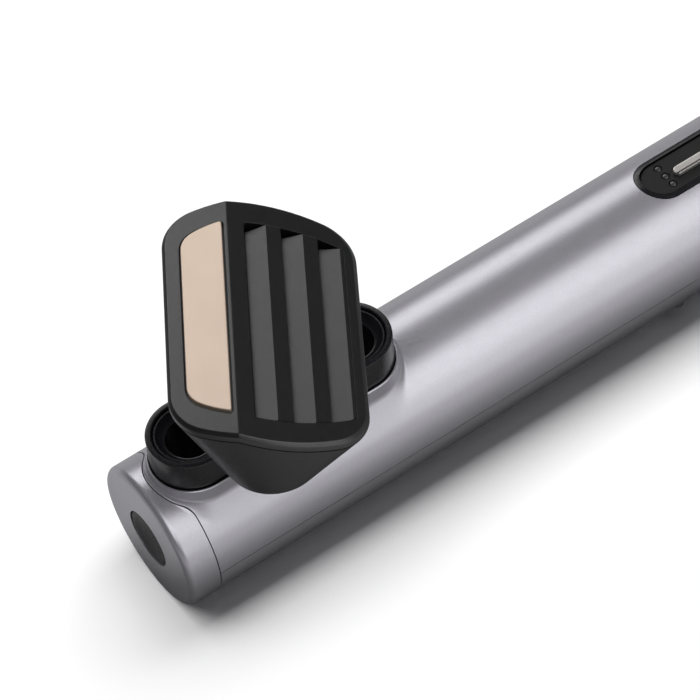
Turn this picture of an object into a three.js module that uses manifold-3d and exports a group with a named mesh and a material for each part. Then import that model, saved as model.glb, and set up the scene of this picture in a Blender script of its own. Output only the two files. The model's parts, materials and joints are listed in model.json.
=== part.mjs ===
// A hair styler: a round blower wand with a swivelling head on its outlet collar.
// Millimetres. X runs along the wand towards the cord, Z points up out of the air outlet,
// and the origin lies on the head's swivel axis, on the surface that the wand rests on.
import * as THREE from 'three';
import { mergeVertices } from 'three/addons/utils/BufferGeometryUtils.js';
import Module from 'manifold-3d';

const wasm = await Module();
wasm.setup();

// Clearances
const GAP = 0.3; // fixed pieces that seat on each other
const RUN = 0.4; // pieces that turn or slide on each other
const FAR = 400; // reach of cutting blocks

// Wand body
const BODY_R = 21; // outer radius of the wand
const WALL = 2.2; // moulded shells
const REST_FLAT = 0.8; // depth of the flat along the underside
const FACE_X = -43; // end face of the nose cap
const CAP_SEAM_X = -33.2; // seam between nose cap and shells
const CAP_FACE_WALL = 2.6;
const CAP_EDGE_R = 3; // rounding of the cap's outer edge
const SPIGOT = 4; // how far a cap reaches into its neighbour
const SPIGOT_WALL = 1.4;
const SHELL_END_X = 205; // rear end of the two shells
const GUARD_LENGTH = 31; // perforated intake guard
const REAR_CAP_LENGTH = 9;
const BORE_R = BODY_R - WALL;
const AXIS_Z = BODY_R - REST_FLAT;

// Outlet collar on top of the wand
const COLLAR_R = 11.4; // end radius of the oblong collar
const COLLAR_D = 25; // half distance between its end centres
const COLLAR_TOP = 33.2; // above the wand's axis
const COLLAR_WALL = 1.7;
const COLLAR_FLANGE = 1.7; // foot of the collar, clamped under the boss
const COLLAR_FLANGE_Z = 10.5;
const COLLAR_FLANGE_T = 2;
const BOSS_TOP = 23.5; // top edge of the silver boss round the collar
const BOSS_WALL = 1.3;
const FLARE_REACH = 3.6; // how far the boss flares out
const FLARE_CURVE = 2.5; // how late the flare opens
const SEAM_OFFSET = 1.8; // cap seam round the collar, outside the collar's wall
const THROAT_R = 6.5;
const DISH_DEPTH = 2.2; // the liner's funnel, below the collar's rim
const DISH_LEDGE = 0.6;

// Swivel
const PIN_R = 2.2;
const PIN_HEAD_R = 4;
const PIN_HEAD_T = 1.5;
const BUSH_WALL = 0.9;
const HUB_HALF_X = 5.2;
const HUB_HEIGHT = 13;
const CLIP_R = 4.6;
const CLIP_T = 1;

// Head, in its own frame: x along the ridge, y towards the smoothing plate, z up from its foot
const HEAD_TURN = 58.8; // degrees from the wand's direction
const FOOT_R = 13;
const FOOT_D = 22.6;
const FOOT_PLATE = 3;
const INLET_R = 9.3;
const INLET_D = 15.5;
const HEAD_HALF_LENGTH = 38.7;
const HEAD_END_R = 48; // the long curve of each end
const HEAD_CORNER_R = 9.5;
const HEAD_PLATE_SIDE = 23.5; // reach of the plate's side from the swivel axis
const HEAD_AIR_SIDE = 25.4; // reach of the air side
const HEAD_WALL = 2;
const RIDGE_Y = 6.8;
const RIDGE_Z = 29.5; // ridge above the foot
const AIR_SLOPE = 22.7; // degrees that the air facet falls away
const LIP = 3.3; // side height of the front cover
const COVER_EDGE = 0.8; // chamfer round the front cover

// Smoothing plate
const PLATE_HALF_LENGTH = 31.2;
const PLATE_END_R = 40;
const PLATE_END_Y = 4;
const PLATE_NEAR = 7.6;
const PLATE_FAR = 19.5;
const PLATE_NEAR_R = 1.3;
const PLATE_FAR_R = 5.5;
const PLATE_PROUD = 0.7;
const PLATE_T = 2.4;
const PLATE_BEVEL = 0.5;
const INSULATOR_T = 1.4;
const POCKET_WALL = 1.4;

// Louvred air window
const WINDOW_HALF_LENGTH = 31.3;
const WINDOW_END_R = 50;
const WINDOW_END_Y = -2;
const WINDOW_NEAR = 2.3;
const WINDOW_FAR = -22.3;
const WINDOW_CORNER_R = 0.6;
const LOUVRES = 3;
const LOUVRE_PITCH = 9.4;
const LOUVRE_WIDTH = 5.2;
const LOUVRE_DEPTH = 4;
const SLIT_WIDTH = 1.5;
const SLIT_HALF_LENGTH = 25;
const GRILLE_T = 6.2;
const GRILLE_FRAME_HALF = 30.2; // half length of the grille's lower part, between the screw posts

// End button
const BUTTON_R = 8.6;
const BUTTON_SINK = 0.9;
const BUTTON_DISH = 0.9;
const BUTTON_TRAVEL = 2;
const BUTTON_STEM_R = 3;
const BUTTON_FLANGE = 0.8;
const BUTTON_FLANGE_T = 1.4;
const RETAINER_X = -30.2;
const RETAINER_T = 1.8;
const RETAINER_R = 12.5;
const SPRING_R = 4.2;
const SPRING_WIRE_R = 0.45;
const SPRING_TURNS = 4;

// Control recess and what it holds
const RECESS_X0 = 123; // front tip of the window in the shell
const RECESS_X1 = 197;
const RECESS_R = 7.6;
const BEZEL_WALL = 1.5;
const FLOOR_TOP = 19.4; // above the axis
const FLOOR_T = 1.6;
const BOARD_TOP = 15.2;
const BOARD_T = 1.4;
const BOARD_HALF_WIDTH = 9;
const SLIDER_X0 = 134.3;
const SLIDER_LENGTH = 30;
const SLIDER_WIDTH = 4.6;
const SLIDER_TOP = 20.8;
const SLIDER_T = 1;
const SLIDER_RIM = 0.9; // between the slider's side and its groove
const SLIDER_TRAVEL = 6;
const SLIDER_GROOVE = 0.7; // width of the groove along the slider
const SLIDER_GROOVE_DEPTH = 0.4;
const STEM_LENGTH = 8;
const STEM_WIDTH = 2.4;
const LENS_X = 130.2;
const LENS_PITCH = 3.35;
const LENS_OFFSET = 0.5; // the row of lenses is a little off centre
const LENS_R = 0.9;
const COOL_X = 184;
const COOL_R = 4.3;
const COOL_TOP = 20.6;
const COOL_FLANGE = 0.9;

// Air path inside the wand
const SLEEVE_X0 = 41;
const SLEEVE_LENGTH = 38;
const SLEEVE_WALL = 0.7;
const MICA_T = 0.9;
const MICA_END = 3.5;
const COIL_R = 13;
const COIL_WIRE_R = 0.55;
const COIL_TURNS = 5;
const COIL_STEPS = 10; // facets in a turn
const SHROUD_X0 = 84;
const SHROUD_LENGTH = 35;
const SHROUD_WALL = 1.2;
const MOUNT_T = 0.8;
const MOUNT_LENGTH = 8;
const MOTOR_R = 11.5;
const MOTOR_LENGTH = 19;
const MOTOR_SEAT_WALL = 1;
const STATOR_VANES = 5;
const STATOR_T = 1.2;
const SHAFT_R = 1.5;
const FAN_HUB_R = 6;
const FAN_WIDTH = 9;
const FAN_BLADES = 7;
const FAN_BLADE_T = 1.1;
const FAN_PITCH = 38; // degrees
const SCOOP_X0 = -24.6;
const SCOOP_X1 = 4;
const SCOOP_T = 1.3;
const SCOOP_HALF_WIDTH = 8.6;
const SCOOP_TOP = 7;

// Screws that join the shells, beside the motor's rear and in front of the guard
const SCREW_X = [122.2, 197.8];
const SCREW_Y = 15;
const SCREW_R = 1.1;
const SCREW_HEAD_R = 2;
const SCREW_HEAD_T = 1.4;
const SCREW_HEAD_Z = -12.6;
const SCREW_END_Z = 7.5;
const POST_WALL = 1.3;

// Rear end
const GUARD_SLOTS = 8; // slots cut right across, so twice as many openings
const GUARD_SLOT_WIDTH = 2.4;
const GUARD_SLOT_END = 5;
const FILTER_WALL = 0.9;
const GLAND_R = 5.6;
const GLAND_BORE = 3.3;
const GLAND_PROUD = 4.5;
const GLAND_FLANGE = 1.8;
const GLAND_FLANGE_T = 2;
const FILTER_BOX = { x0: 140, length: 34, halfWidth: 7.5, height: 10 };

const ROUND = 40; // facets round the wand
const ARC = 6; // facets on each quarter of a moulded outline

// Triangles that shrank to a line when their corners merged are left out
function wholeTriangles(index) {
  const kept = [];
  for (let i = 0; i < index.length; i += 3) {
    const [a, b, c] = index.slice(i, i + 3);
    if (a !== b && b !== c && c !== a) kept.push(a, b, c);
  }
  return kept;
}

// Solids from geometry and back
function solid(geometry) {
  geometry.deleteAttribute('normal');
  geometry.deleteAttribute('uv');
  const merged = mergeVertices(geometry, 1e-4);
  const vertProperties = new Float32Array(merged.attributes.position.array);
  const triVerts = new Uint32Array(wholeTriangles(merged.index.array));
  return new wasm.Manifold(new wasm.Mesh({ numProp: 3, vertProperties, triVerts }));
}

function join(first, ...others) {
  return others.reduce((sum, next) => sum.add(next), first);
}

function cut(first, ...others) {
  return others.reduce((rest, next) => rest.subtract(next), first);
}

function geometryOf(body) {
  const mesh = body.getMesh();
  const geometry = new THREE.BufferGeometry();
  geometry.setAttribute('position', new THREE.BufferAttribute(new Float32Array(mesh.vertProperties), 3));
  geometry.setIndex(new THREE.BufferAttribute(new Uint32Array(mesh.triVerts), 1));
  return geometry;
}

// Simple solids
function block(x0, x1, y0, y1, z0, z1) {
  const geometry = new THREE.BoxGeometry(x1 - x0, y1 - y0, z1 - z0);
  geometry.translate((x0 + x1) / 2, (y0 + y1) / 2, (z0 + z1) / 2);
  return solid(geometry);
}

function rodX(radius, x0, x1, facets = ROUND) {
  const geometry = new THREE.CylinderGeometry(radius, radius, x1 - x0, facets);
  geometry.rotateZ(-Math.PI / 2);
  geometry.translate((x0 + x1) / 2, 0, 0);
  return solid(geometry);
}

function rodZ(radius, z0, z1, x = 0, y = 0, facets = 24) {
  const geometry = new THREE.CylinderGeometry(radius, radius, z1 - z0, facets);
  geometry.rotateX(Math.PI / 2);
  geometry.translate(x, y, (z0 + z1) / 2);
  return solid(geometry);
}

// A profile of [x, radius] points turned about the X axis
function turned(profile, facets = ROUND) {
  const points = profile.map(([x, radius]) => new THREE.Vector2(radius, x));
  const geometry = new THREE.LatheGeometry(points, facets);
  geometry.rotateZ(-Math.PI / 2);
  let body = solid(geometry);
  if (body.volume() < 0) {
    geometry.index.array.reverse();
    body = solid(geometry);
  }
  return body;
}

function tubeX(inner, outer, x0, x1, facets = ROUND) {
  return turned([[x0, inner], [x1, inner], [x1, outer], [x0, outer], [x0, inner]], facets);
}

function tubeZ(inner, outer, z0, z1) {
  return cut(rodZ(outer, z0, z1), rodZ(inner, z0 - 1, z1 + 1));
}

// Convex outlines with two round ends: each point is found from the direction that it faces
function oblong(radius, half) {
  const centre = { x: half, y: 0, r: radius };
  return { end: centre, low: centre, high: centre };
}

function roundEnded({ halfLength, endR, endY, low, high, lowR, highR }) {
  const end = { x: halfLength - endR, y: endY, r: endR };
  const corner = (y, r) => ({ x: end.x + Math.sqrt((endR - r) ** 2 - (y - endY) ** 2), y, r });
  return { end, low: corner(low + lowR, lowR), high: corner(high - highR, highR) };
}

function grown(outline, by) {
  const wider = (arc) => ({ ...arc, r: arc.r + by });
  return { end: wider(outline.end), low: wider(outline.low), high: wider(outline.high) };
}

function arcFacing(outline, angle) {
  const { end, low, high } = outline;
  const lowest = Math.atan2(low.y - end.y, low.x - end.x);
  const highest = Math.atan2(high.y - end.y, high.x - end.x);
  if (end.x < high.x && angle > highest) return high;
  if (end.x < low.x && angle < lowest) return low;
  return end;
}

// Directions from -90 to 90 degrees, closer together towards the middle by a share
function directions(steps, closer = 0) {
  const angles = [];
  for (let i = 0; i <= 2 * steps; i++) {
    const s = i / steps - 1;
    angles.push((s * (1 - closer) + s ** 3 * closer) * Math.PI / 2);
  }
  return angles;
}

const EVEN = directions(ARC);

function outlinePoints(outline, angles = EVEN) {
  const side = angles.map((angle) => {
    const arc = arcFacing(outline, angle);
    return new THREE.Vector2(arc.x + arc.r * Math.cos(angle), arc.y + arc.r * Math.sin(angle));
  });
  const other = side.map((p) => new THREE.Vector2(-p.x, p.y)).reverse();
  return [...side, ...other];
}

function prism(outline, z0, z1, angles = EVEN) {
  const shape = new THREE.Shape(outlinePoints(outline, angles));
  const geometry = new THREE.ExtrudeGeometry(shape, { depth: z1 - z0, bevelEnabled: false });
  geometry.translate(0, 0, z0);
  return solid(geometry);
}

// A closed skin through rings of equally many points, lowest ring first.
// Strips across x close its ends, so an end may bend along the ridge.
function loft(rings) {
  const count = rings[0].length;
  const half = count / 2;
  const top = (rings.length - 1) * count;
  const position = rings.flatMap((ring) => ring.flatMap((p) => [p.x, p.y, p.z]));
  const index = [];
  for (let level = 0; level + 1 < rings.length; level++) {
    for (let i = 0; i < count; i++) {
      const a = level * count + i;
      const b = level * count + (i + 1) % count;
      index.push(a, b, a + count, b, b + count, a + count);
    }
  }
  for (let i = 0; i + 1 < half; i++) {
    const j = count - 1 - i;
    index.push(i + 1, i, j, i + 1, j, j - 1);
    index.push(top + i, top + i + 1, top + j, top + i + 1, top + j - 1, top + j);
  }
  const geometry = new THREE.BufferGeometry();
  geometry.setAttribute('position', new THREE.Float32BufferAttribute(position, 3));
  geometry.setIndex(index);
  return solid(geometry);
}

function ringAt(outline, z, angles = EVEN) {
  return outlinePoints(outline, angles).map((p) => new THREE.Vector3(p.x, p.y, z));
}

// A coil spring or heating wire along X, or along Z when upright
function coil(radius, wire, turns, start, end, upright = false) {
  class Helix extends THREE.Curve {
    getPoint(t, target = new THREE.Vector3()) {
      const angle = 2 * Math.PI * turns * t;
      const along = start + wire + (end - start - 2 * wire) * t;
      const a = radius * Math.cos(angle);
      const b = radius * Math.sin(angle);
      return upright ? target.set(a, b, along) : target.set(along, a, b);
    }
  }
  const section = new THREE.Shape();
  section.absarc(0, 0, wire, 0, 2 * Math.PI);
  return new THREE.ExtrudeGeometry(section, {
    steps: turns * COIL_STEPS, curveSegments: 3, extrudePath: new Helix(),
  });
}

// Scene graph
const styler = new THREE.Group();
const wand = new THREE.Group();
wand.position.z = AXIS_Z;
const head = new THREE.Group();
head.position.z = AXIS_Z + COLLAR_TOP + RUN;
head.rotation.z = THREE.MathUtils.degToRad(HEAD_TURN);
styler.add(wand, head);

function add(group, name, shape, material) {
  const geometry = shape instanceof wasm.Manifold ? geometryOf(shape) : shape;
  const mesh = new THREE.Mesh(geometry, new THREE.MeshStandardMaterial(material));
  mesh.name = name;
  group.add(mesh);
}

const SATIN_SILVER = { color: 0xb4b2bb, roughness: 0.32, metalness: 0.75 };
const CHARCOAL = { color: 0x242427, roughness: 0.55, metalness: 0 };
const GLOSS_BLACK = { color: 0x0c0c0e, roughness: 0.25, metalness: 0 };
const CHAMPAGNE = { color: 0xd6c7b4, roughness: 0.3, metalness: 0.7 };
const DARK_LENS = { color: 0x2c2930, roughness: 0.2, metalness: 0.2 };
const STEEL = { color: 0xb9bbbf, roughness: 0.35, metalness: 1 };
const BRONZE = { color: 0x9c6f3c, roughness: 0.45, metalness: 0.9 };
const MICA = { color: 0xb9a98a, roughness: 0.7, metalness: 0 };
const NYLON = { color: 0xd9d6cc, roughness: 0.6, metalness: 0 };
const RUBBER = { color: 0x1b1b1b, roughness: 0.9, metalness: 0 };
const BOARD_GREEN = { color: 0x1f5a35, roughness: 0.5, metalness: 0 };

const upperHalf = () => block(-FAR, FAR, -FAR, FAR, GAP / 2, FAR);
const lowerHalf = () => block(-FAR, FAR, -FAR, FAR, -FAR, -GAP / 2);
const restCut = () => block(-FAR, FAR, -FAR, FAR, -FAR, -AXIS_Z);

// Plan of the shells' front end: a straight seam that swells round the collar
function shellPlan(offset) {
  const seamX = CAP_SEAM_X - offset;
  const radius = COLLAR_R + SEAM_OFFSET + offset;
  const meet = Math.acos((-COLLAR_D - seamX + 1.6) / radius);
  const touch = new THREE.Vector2(-COLLAR_D - radius * Math.cos(meet), radius * Math.sin(meet));
  const knee = touch.y + 2.6;
  const shape = new THREE.Shape();
  shape.moveTo(FAR, -FAR);
  shape.lineTo(FAR, FAR);
  shape.lineTo(seamX, FAR);
  shape.lineTo(seamX, knee);
  shape.quadraticCurveTo(seamX, touch.y + 0.9, touch.x, touch.y);
  shape.absarc(-COLLAR_D, 0, radius, Math.PI - meet, Math.PI + meet, false);
  shape.quadraticCurveTo(seamX, -touch.y - 0.9, seamX, -knee);
  shape.lineTo(seamX, -FAR);
  return shape;
}

function planSolid(offset) {
  const geometry = new THREE.ExtrudeGeometry(shellPlan(offset), {
    depth: FAR, bevelEnabled: false, curveSegments: ARC,
  });
  return solid(geometry);
}

// The silver boss flares from the collar's wall down into the round body
function flare() {
  const rings = [];
  const steps = 5;
  const rise = BOSS_TOP - COLLAR_FLANGE_Z - COLLAR_FLANGE_T;
  for (let i = 0; i <= steps; i++) {
    const depth = 1 - i / steps;
    const reach = BOSS_WALL + FLARE_REACH * depth ** FLARE_CURVE;
    const z = BOSS_TOP - rise * depth;
    rings.push(ringAt(oblong(COLLAR_R + GAP + reach, COLLAR_D), z));
  }
  return cut(loft(rings), rodX(BORE_R, -FAR, FAR));
}

function bossRing() {
  const outline = oblong(COLLAR_R + GAP + BOSS_WALL, COLLAR_D);
  return prism(outline, COLLAR_FLANGE_Z + COLLAR_FLANGE_T + GAP, BOSS_TOP);
}

function collarHole() {
  return prism(oblong(COLLAR_R + GAP, COLLAR_D), 0, COLLAR_TOP);
}

// The whole outer skin before the seams are cut, nose cap included
function skin() {
  const capInnerX = FACE_X + CAP_FACE_WALL;
  const edge = [];
  const steps = 4;
  for (let i = 0; i <= steps; i++) {
    const angle = (i / steps) * Math.PI / 2;
    const radius = BODY_R - CAP_EDGE_R * (1 - Math.sin(angle));
    edge.push([FACE_X + CAP_EDGE_R * (1 - Math.cos(angle)), radius]);
  }
  const outside = [[FACE_X, 0], ...edge, [SHELL_END_X, BODY_R]];
  const inside = [[SHELL_END_X, BORE_R], [capInnerX, BORE_R], [capInnerX, 0]];
  return turned([...outside, ...inside]);
}

const recess = { x: (RECESS_X0 + RECESS_X1) / 2, half: (RECESS_X1 - RECESS_X0) / 2 - RECESS_R };

function recessPrism(radius, z0, z1) {
  return prism(oblong(radius, recess.half), z0, z1).translate([recess.x, 0, 0]);
}

const screwPlaces = SCREW_X.flatMap((x) => [[x, -SCREW_Y], [x, SCREW_Y]]);

function screwPosts(z0, z1) {
  const posts = screwPlaces.map(([x, y]) => rodZ(SCREW_R + GAP + POST_WALL, z0, z1, x, y, 12));
  return join(...posts).intersect(rodX(BORE_R + WALL / 2, -FAR, FAR));
}

function screwHoles(radius, z0, z1) {
  return screwPlaces.map(([x, y]) => rodZ(radius, z0, z1, x, y, 12));
}

function upperShell() {
  const posts = screwPosts(GAP / 2, SCREW_END_Z + 3);
  const whole = join(skin(), flare(), bossRing(), posts);
  const half = whole.intersect(planSolid(0)).intersect(upperHalf());
  const holes = screwHoles(SCREW_R + GAP, 0, SCREW_END_Z + 1);
  return cut(half, collarHole(), recessPrism(RECESS_R, FLOOR_TOP - FLOOR_T - 4, FAR), ...holes);
}

function lowerShell() {
  const behindSeam = block(CAP_SEAM_X, FAR, -FAR, FAR, -FAR, FAR);
  const posts = screwPosts(-FAR, -GAP / 2);
  const half = join(skin(), posts).intersect(behindSeam).intersect(lowerHalf());
  const holes = screwHoles(SCREW_R + GAP, -FAR, 1);
  const headHoles = screwHoles(SCREW_HEAD_R + GAP, -FAR, SCREW_HEAD_Z + GAP);
  return cut(half, restCut(), ...holes, ...headHoles);
}

function noseCap() {
  const front = block(-FAR, CAP_SEAM_X - GAP, -FAR, FAR, -FAR, FAR);
  const shellSide = planSolid(GAP);
  const spigotR = BORE_R - GAP;
  const spigot = tubeX(spigotR - SPIGOT_WALL, spigotR, FACE_X + CAP_FACE_WALL - 0.5, CAP_SEAM_X + SPIGOT);
  const clear = prism(oblong(COLLAR_R + COLLAR_FLANGE + 2 * GAP, COLLAR_D), COLLAR_FLANGE_Z - 2, FAR);
  const body = join(cut(join(skin(), flare()).intersect(front), shellSide), cut(spigot, clear));
  const bore = rodX(BUTTON_R + RUN, -FAR, FACE_X + CAP_FACE_WALL + 1);
  return cut(body, bore, restCut());
}

// Collar, liner and the hub that carries the head
function collar() {
  const flangeTop = COLLAR_FLANGE_Z + COLLAR_FLANGE_T;
  const wall = prism(oblong(COLLAR_R, COLLAR_D), COLLAR_FLANGE_Z, COLLAR_TOP);
  const flange = prism(oblong(COLLAR_R + COLLAR_FLANGE, COLLAR_D), COLLAR_FLANGE_Z, flangeTop);
  return cut(join(wall, flange), prism(oblong(COLLAR_R - COLLAR_WALL, COLLAR_D), 0, FAR));
}

function liner() {
  const outerR = COLLAR_R - COLLAR_WALL - GAP;
  const top = COLLAR_TOP - DISH_LEDGE;
  const dishR = outerR - DISH_LEDGE;
  const body = prism(oblong(outerR, COLLAR_D), COLLAR_FLANGE_Z, top);
  const steps = 3;
  const rings = [ringAt(oblong(THROAT_R, COLLAR_D), COLLAR_FLANGE_Z - 1)];
  for (let i = 0; i <= steps; i++) {
    const t = i / steps;
    const z = top - DISH_DEPTH + DISH_DEPTH * t ** 1.5;
    rings.push(ringAt(oblong(THROAT_R + (dishR - THROAT_R) * t, COLLAR_D), z));
  }
  rings.push(ringAt(oblong(dishR, COLLAR_D), top + 1));
  return cut(body, loft(rings));
}

const hubTop = COLLAR_TOP - DISH_DEPTH - DISH_LEDGE;
const hubBottom = hubTop - HUB_HEIGHT;
const bushOuterR = PIN_R + RUN + BUSH_WALL;

function swivelHub() {
  const half = THROAT_R - GAP;
  const body = block(-HUB_HALF_X, HUB_HALF_X, -half, half, hubBottom, hubTop);
  return cut(body, rodZ(bushOuterR + GAP, 0, FAR));
}

function hubBush() {
  return tubeZ(PIN_R + RUN, bushOuterR, hubBottom, hubTop);
}

// Head, with its foot at z = 0
const footOutline = oblong(FOOT_R, FOOT_D);
const headOutline = roundEnded({
  halfLength: HEAD_HALF_LENGTH, endR: HEAD_END_R, endY: (HEAD_PLATE_SIDE - HEAD_AIR_SIDE) / 2,
  low: -HEAD_AIR_SIDE, high: HEAD_PLATE_SIDE, lowR: HEAD_CORNER_R, highR: HEAD_CORNER_R,
});
const plateOutline = roundEnded({
  halfLength: PLATE_HALF_LENGTH, endR: PLATE_END_R, endY: PLATE_END_Y,
  low: PLATE_NEAR, high: PLATE_FAR, lowR: PLATE_NEAR_R, highR: PLATE_FAR_R,
});
const windowOutline = roundEnded({
  halfLength: WINDOW_HALF_LENGTH, endR: WINDOW_END_R, endY: WINDOW_END_Y,
  low: WINDOW_FAR, high: WINDOW_NEAR, lowR: WINDOW_CORNER_R, highR: WINDOW_CORNER_R,
});
const slope = Math.tan(THREE.MathUtils.degToRad(AIR_SLOPE));

function facetZ(y) {
  return RIDGE_Z - Math.max(0, RIDGE_Y - y) * slope;
}

// Everything below the two facets when they are lowered by a depth
function belowFacets(depth) {
  const shape = new THREE.Shape();
  shape.moveTo(-FAR, -FAR);
  shape.lineTo(FAR, -FAR);
  shape.lineTo(FAR, RIDGE_Z - depth);
  shape.lineTo(RIDGE_Y, RIDGE_Z - depth);
  shape.lineTo(-FAR, facetZ(-FAR) - depth);
  const geometry = new THREE.ExtrudeGeometry(shape, { depth: 2 * FAR, bevelEnabled: false });
  geometry.rotateX(Math.PI / 2);
  geometry.rotateZ(Math.PI / 2);
  geometry.translate(-FAR, 0, 0);
  return solid(geometry);
}

// Directions round the head, one of them through the end of the ridge
const ridgeAngle = Math.asin((RIDGE_Y - headOutline.end.y) / headOutline.end.r);
const headAngles = [...directions(ARC, 0.65), ridgeAngle].sort((p, q) => p - q);

// Straight-sided taper from the foot to the head's outline, carried on a little past the cover's seam
function taper(inset) {
  const foot = outlinePoints(grown(footOutline, -inset), headAngles);
  const rim = outlinePoints(grown(headOutline, -inset), headAngles);
  const past = 1.5;
  const upper = foot.map((start, i) => {
    const end = rim[i];
    const height = facetZ(end.y) - LIP;
    const share = (height + past) / height;
    const x = start.x + (end.x - start.x) * share;
    const y = start.y + (end.y - start.y) * share;
    return new THREE.Vector3(x, y, height + past);
  });
  return loft([foot.map((p) => new THREE.Vector3(p.x, p.y, 0)), upper]);
}

function headPosts() {
  const x = FOOT_D + FOOT_R - SCREW_HEAD_R - 0.6;
  return [-x, x].map((px) => ({
    post: rodZ(SCREW_R + GAP + 0.9, 0, RIDGE_Z, px, 0, 12),
    hole: rodZ(SCREW_R + GAP, -1, facetZ(0) - 1.5, px, 0, 12),
    headHole: rodZ(SCREW_HEAD_R + 0.2, -1, SCREW_HEAD_T + 0.2, px, 0, 12),
    screw: join(
      rodZ(SCREW_R, SCREW_HEAD_T - 0.2, facetZ(0) - 2, px, 0, 8),
      rodZ(SCREW_HEAD_R - 0.1, 0.2, SCREW_HEAD_T - 0.1, px, 0, 12),
    ),
  }));
}

function headHousing() {
  const seam = belowFacets(LIP + GAP);
  const outer = taper(0).intersect(seam);
  const inner = taper(HEAD_WALL).intersect(block(-FAR, FAR, -FAR, FAR, FOOT_PLATE, FAR));
  const posts = headPosts();
  const standing = join(...posts.map((p) => p.post)).intersect(taper(HEAD_WALL / 2)).intersect(seam);
  const bridge = block(-HUB_HALF_X, HUB_HALF_X, -FOOT_R + 1, FOOT_R - 1, 0, FOOT_PLATE);
  const inlet = cut(prism(oblong(INLET_R, INLET_D), -1, FOOT_PLATE + 1), bridge);
  const body = join(cut(outer, inner, inlet), standing);
  return cut(body, rodZ(PIN_R + GAP, -1, FOOT_PLATE + 1), ...posts.flatMap((p) => [p.hole, p.headHole]));
}

// The cover's outside: its side, a small chamfer under each facet, and the two facets
function coverBlank() {
  const past = 1.5;
  const stations = [[LIP + 2, 0], [COVER_EDGE, 0], [-past, -COVER_EDGE - past]];
  const rings = stations.map(([depth, inset]) => (
    outlinePoints(grown(headOutline, inset), headAngles)
      .map((p) => new THREE.Vector3(p.x, p.y, facetZ(p.y) - depth))
  ));
  return loft(rings).intersect(belowFacets(0));
}

function frontCover() {
  const pocketDepth = PLATE_T - PLATE_PROUD + INSULATOR_T + 2 * GAP;
  const plate = cut(coverBlank(), belowFacets(LIP));
  const room = taper(HEAD_WALL + GAP).intersect(belowFacets(LIP / 2));
  const cradleOutline = grown(plateOutline, GAP + POCKET_WALL);
  const cradle = prism(cradleOutline, RIDGE_Z - pocketDepth - POCKET_WALL, RIDGE_Z).intersect(room);
  const pocket = prism(grown(plateOutline, GAP), RIDGE_Z - pocketDepth, FAR);
  const holes = headPosts().map((p) => p.hole);
  return cut(join(plate, cradle), pocket, prism(windowOutline, 0, FAR), ...holes);
}

function smoothingPlate() {
  const shape = new THREE.Shape(outlinePoints(grown(plateOutline, -PLATE_BEVEL), directions(ARC, 0.65)));
  const geometry = new THREE.ExtrudeGeometry(shape, {
    depth: PLATE_T - 2 * PLATE_BEVEL, bevelThickness: PLATE_BEVEL, bevelSize: PLATE_BEVEL, bevelSegments: 1,
  });
  geometry.translate(0, 0, RIDGE_Z + PLATE_PROUD - PLATE_T + PLATE_BEVEL);
  return solid(geometry);
}

function plateInsulator() {
  const top = RIDGE_Z + PLATE_PROUD - PLATE_T - GAP;
  return prism(plateOutline, top - INSULATOR_T, top);
}

// Saw-tooth louvres: each drops straight at the ridge side and climbs back to the facet
function louvreGrille() {
  const thick = cut(belowFacets(0), belowFacets(GRILLE_T));
  const between = block(-GRILLE_FRAME_HALF, GRILLE_FRAME_HALF, -FAR, FAR, 0, FAR);
  const cavity = join(cut(belowFacets(0), belowFacets(LIP)), taper(HEAD_WALL + GAP).intersect(between));
  const body = prism(grown(windowOutline, -GAP), 0, FAR).intersect(thick).intersect(cavity);
  const cuts = [];
  for (let i = 0; i < LOUVRES; i++) {
    const near = WINDOW_NEAR - GAP - 0.2 - i * LOUVRE_PITCH;
    const far = near - LOUVRE_WIDTH;
    cuts.push(grooveAlongX([
      [near, facetZ(near) - LOUVRE_DEPTH], [near, facetZ(near) + 1],
      [far, facetZ(far) + 1], [far, facetZ(far)],
    ]));
    cuts.push(block(-SLIT_HALF_LENGTH, SLIT_HALF_LENGTH, near - SLIT_WIDTH, near, 0, FAR));
  }
  return cut(body, ...cuts);
}

// A cutter with a section of [y, z] points that runs the whole way along x
function grooveAlongX(section) {
  const shape = new THREE.Shape(section.map(([y, z]) => new THREE.Vector2(y, z)));
  const geometry = new THREE.ExtrudeGeometry(shape, { depth: 2 * FAR, bevelEnabled: false });
  geometry.rotateX(Math.PI / 2);
  geometry.rotateZ(Math.PI / 2);
  geometry.translate(-FAR, 0, 0);
  return solid(geometry);
}

function swivelPin() {
  const foot = FOOT_PLATE + GAP;
  const bottom = -(COLLAR_TOP + RUN - hubBottom) - GAP - CLIP_T - 1;
  return join(rodZ(PIN_R, bottom, foot + 0.5), rodZ(PIN_HEAD_R, foot, foot + PIN_HEAD_T));
}

function retainingClip() {
  const top = -(COLLAR_TOP + RUN - hubBottom) - GAP;
  return tubeZ(PIN_R + GAP, CLIP_R, top - CLIP_T, top);
}

// End button in the nose cap
const buttonFace = FACE_X + BUTTON_SINK;
const flangeStart = FACE_X + CAP_FACE_WALL + RUN;
const flangeEnd = flangeStart + BUTTON_FLANGE_T;
const stemEnd = RETAINER_X + RETAINER_T + 1;

function endButton() {
  const dish = [];
  const steps = 3;
  for (let i = 0; i <= steps; i++) {
    const t = i / steps;
    dish.push([buttonFace + BUTTON_DISH * (1 - t * t), (BUTTON_R - 1) * t]);
  }
  return turned([
    ...dish, [buttonFace, BUTTON_R - 0.4], [buttonFace + 0.4, BUTTON_R],
    [flangeStart, BUTTON_R], [flangeStart, BUTTON_R + BUTTON_FLANGE],
    [flangeEnd, BUTTON_R + BUTTON_FLANGE], [flangeEnd, BUTTON_STEM_R],
    [stemEnd, BUTTON_STEM_R], [stemEnd, 0],
  ], 32);
}

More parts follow.
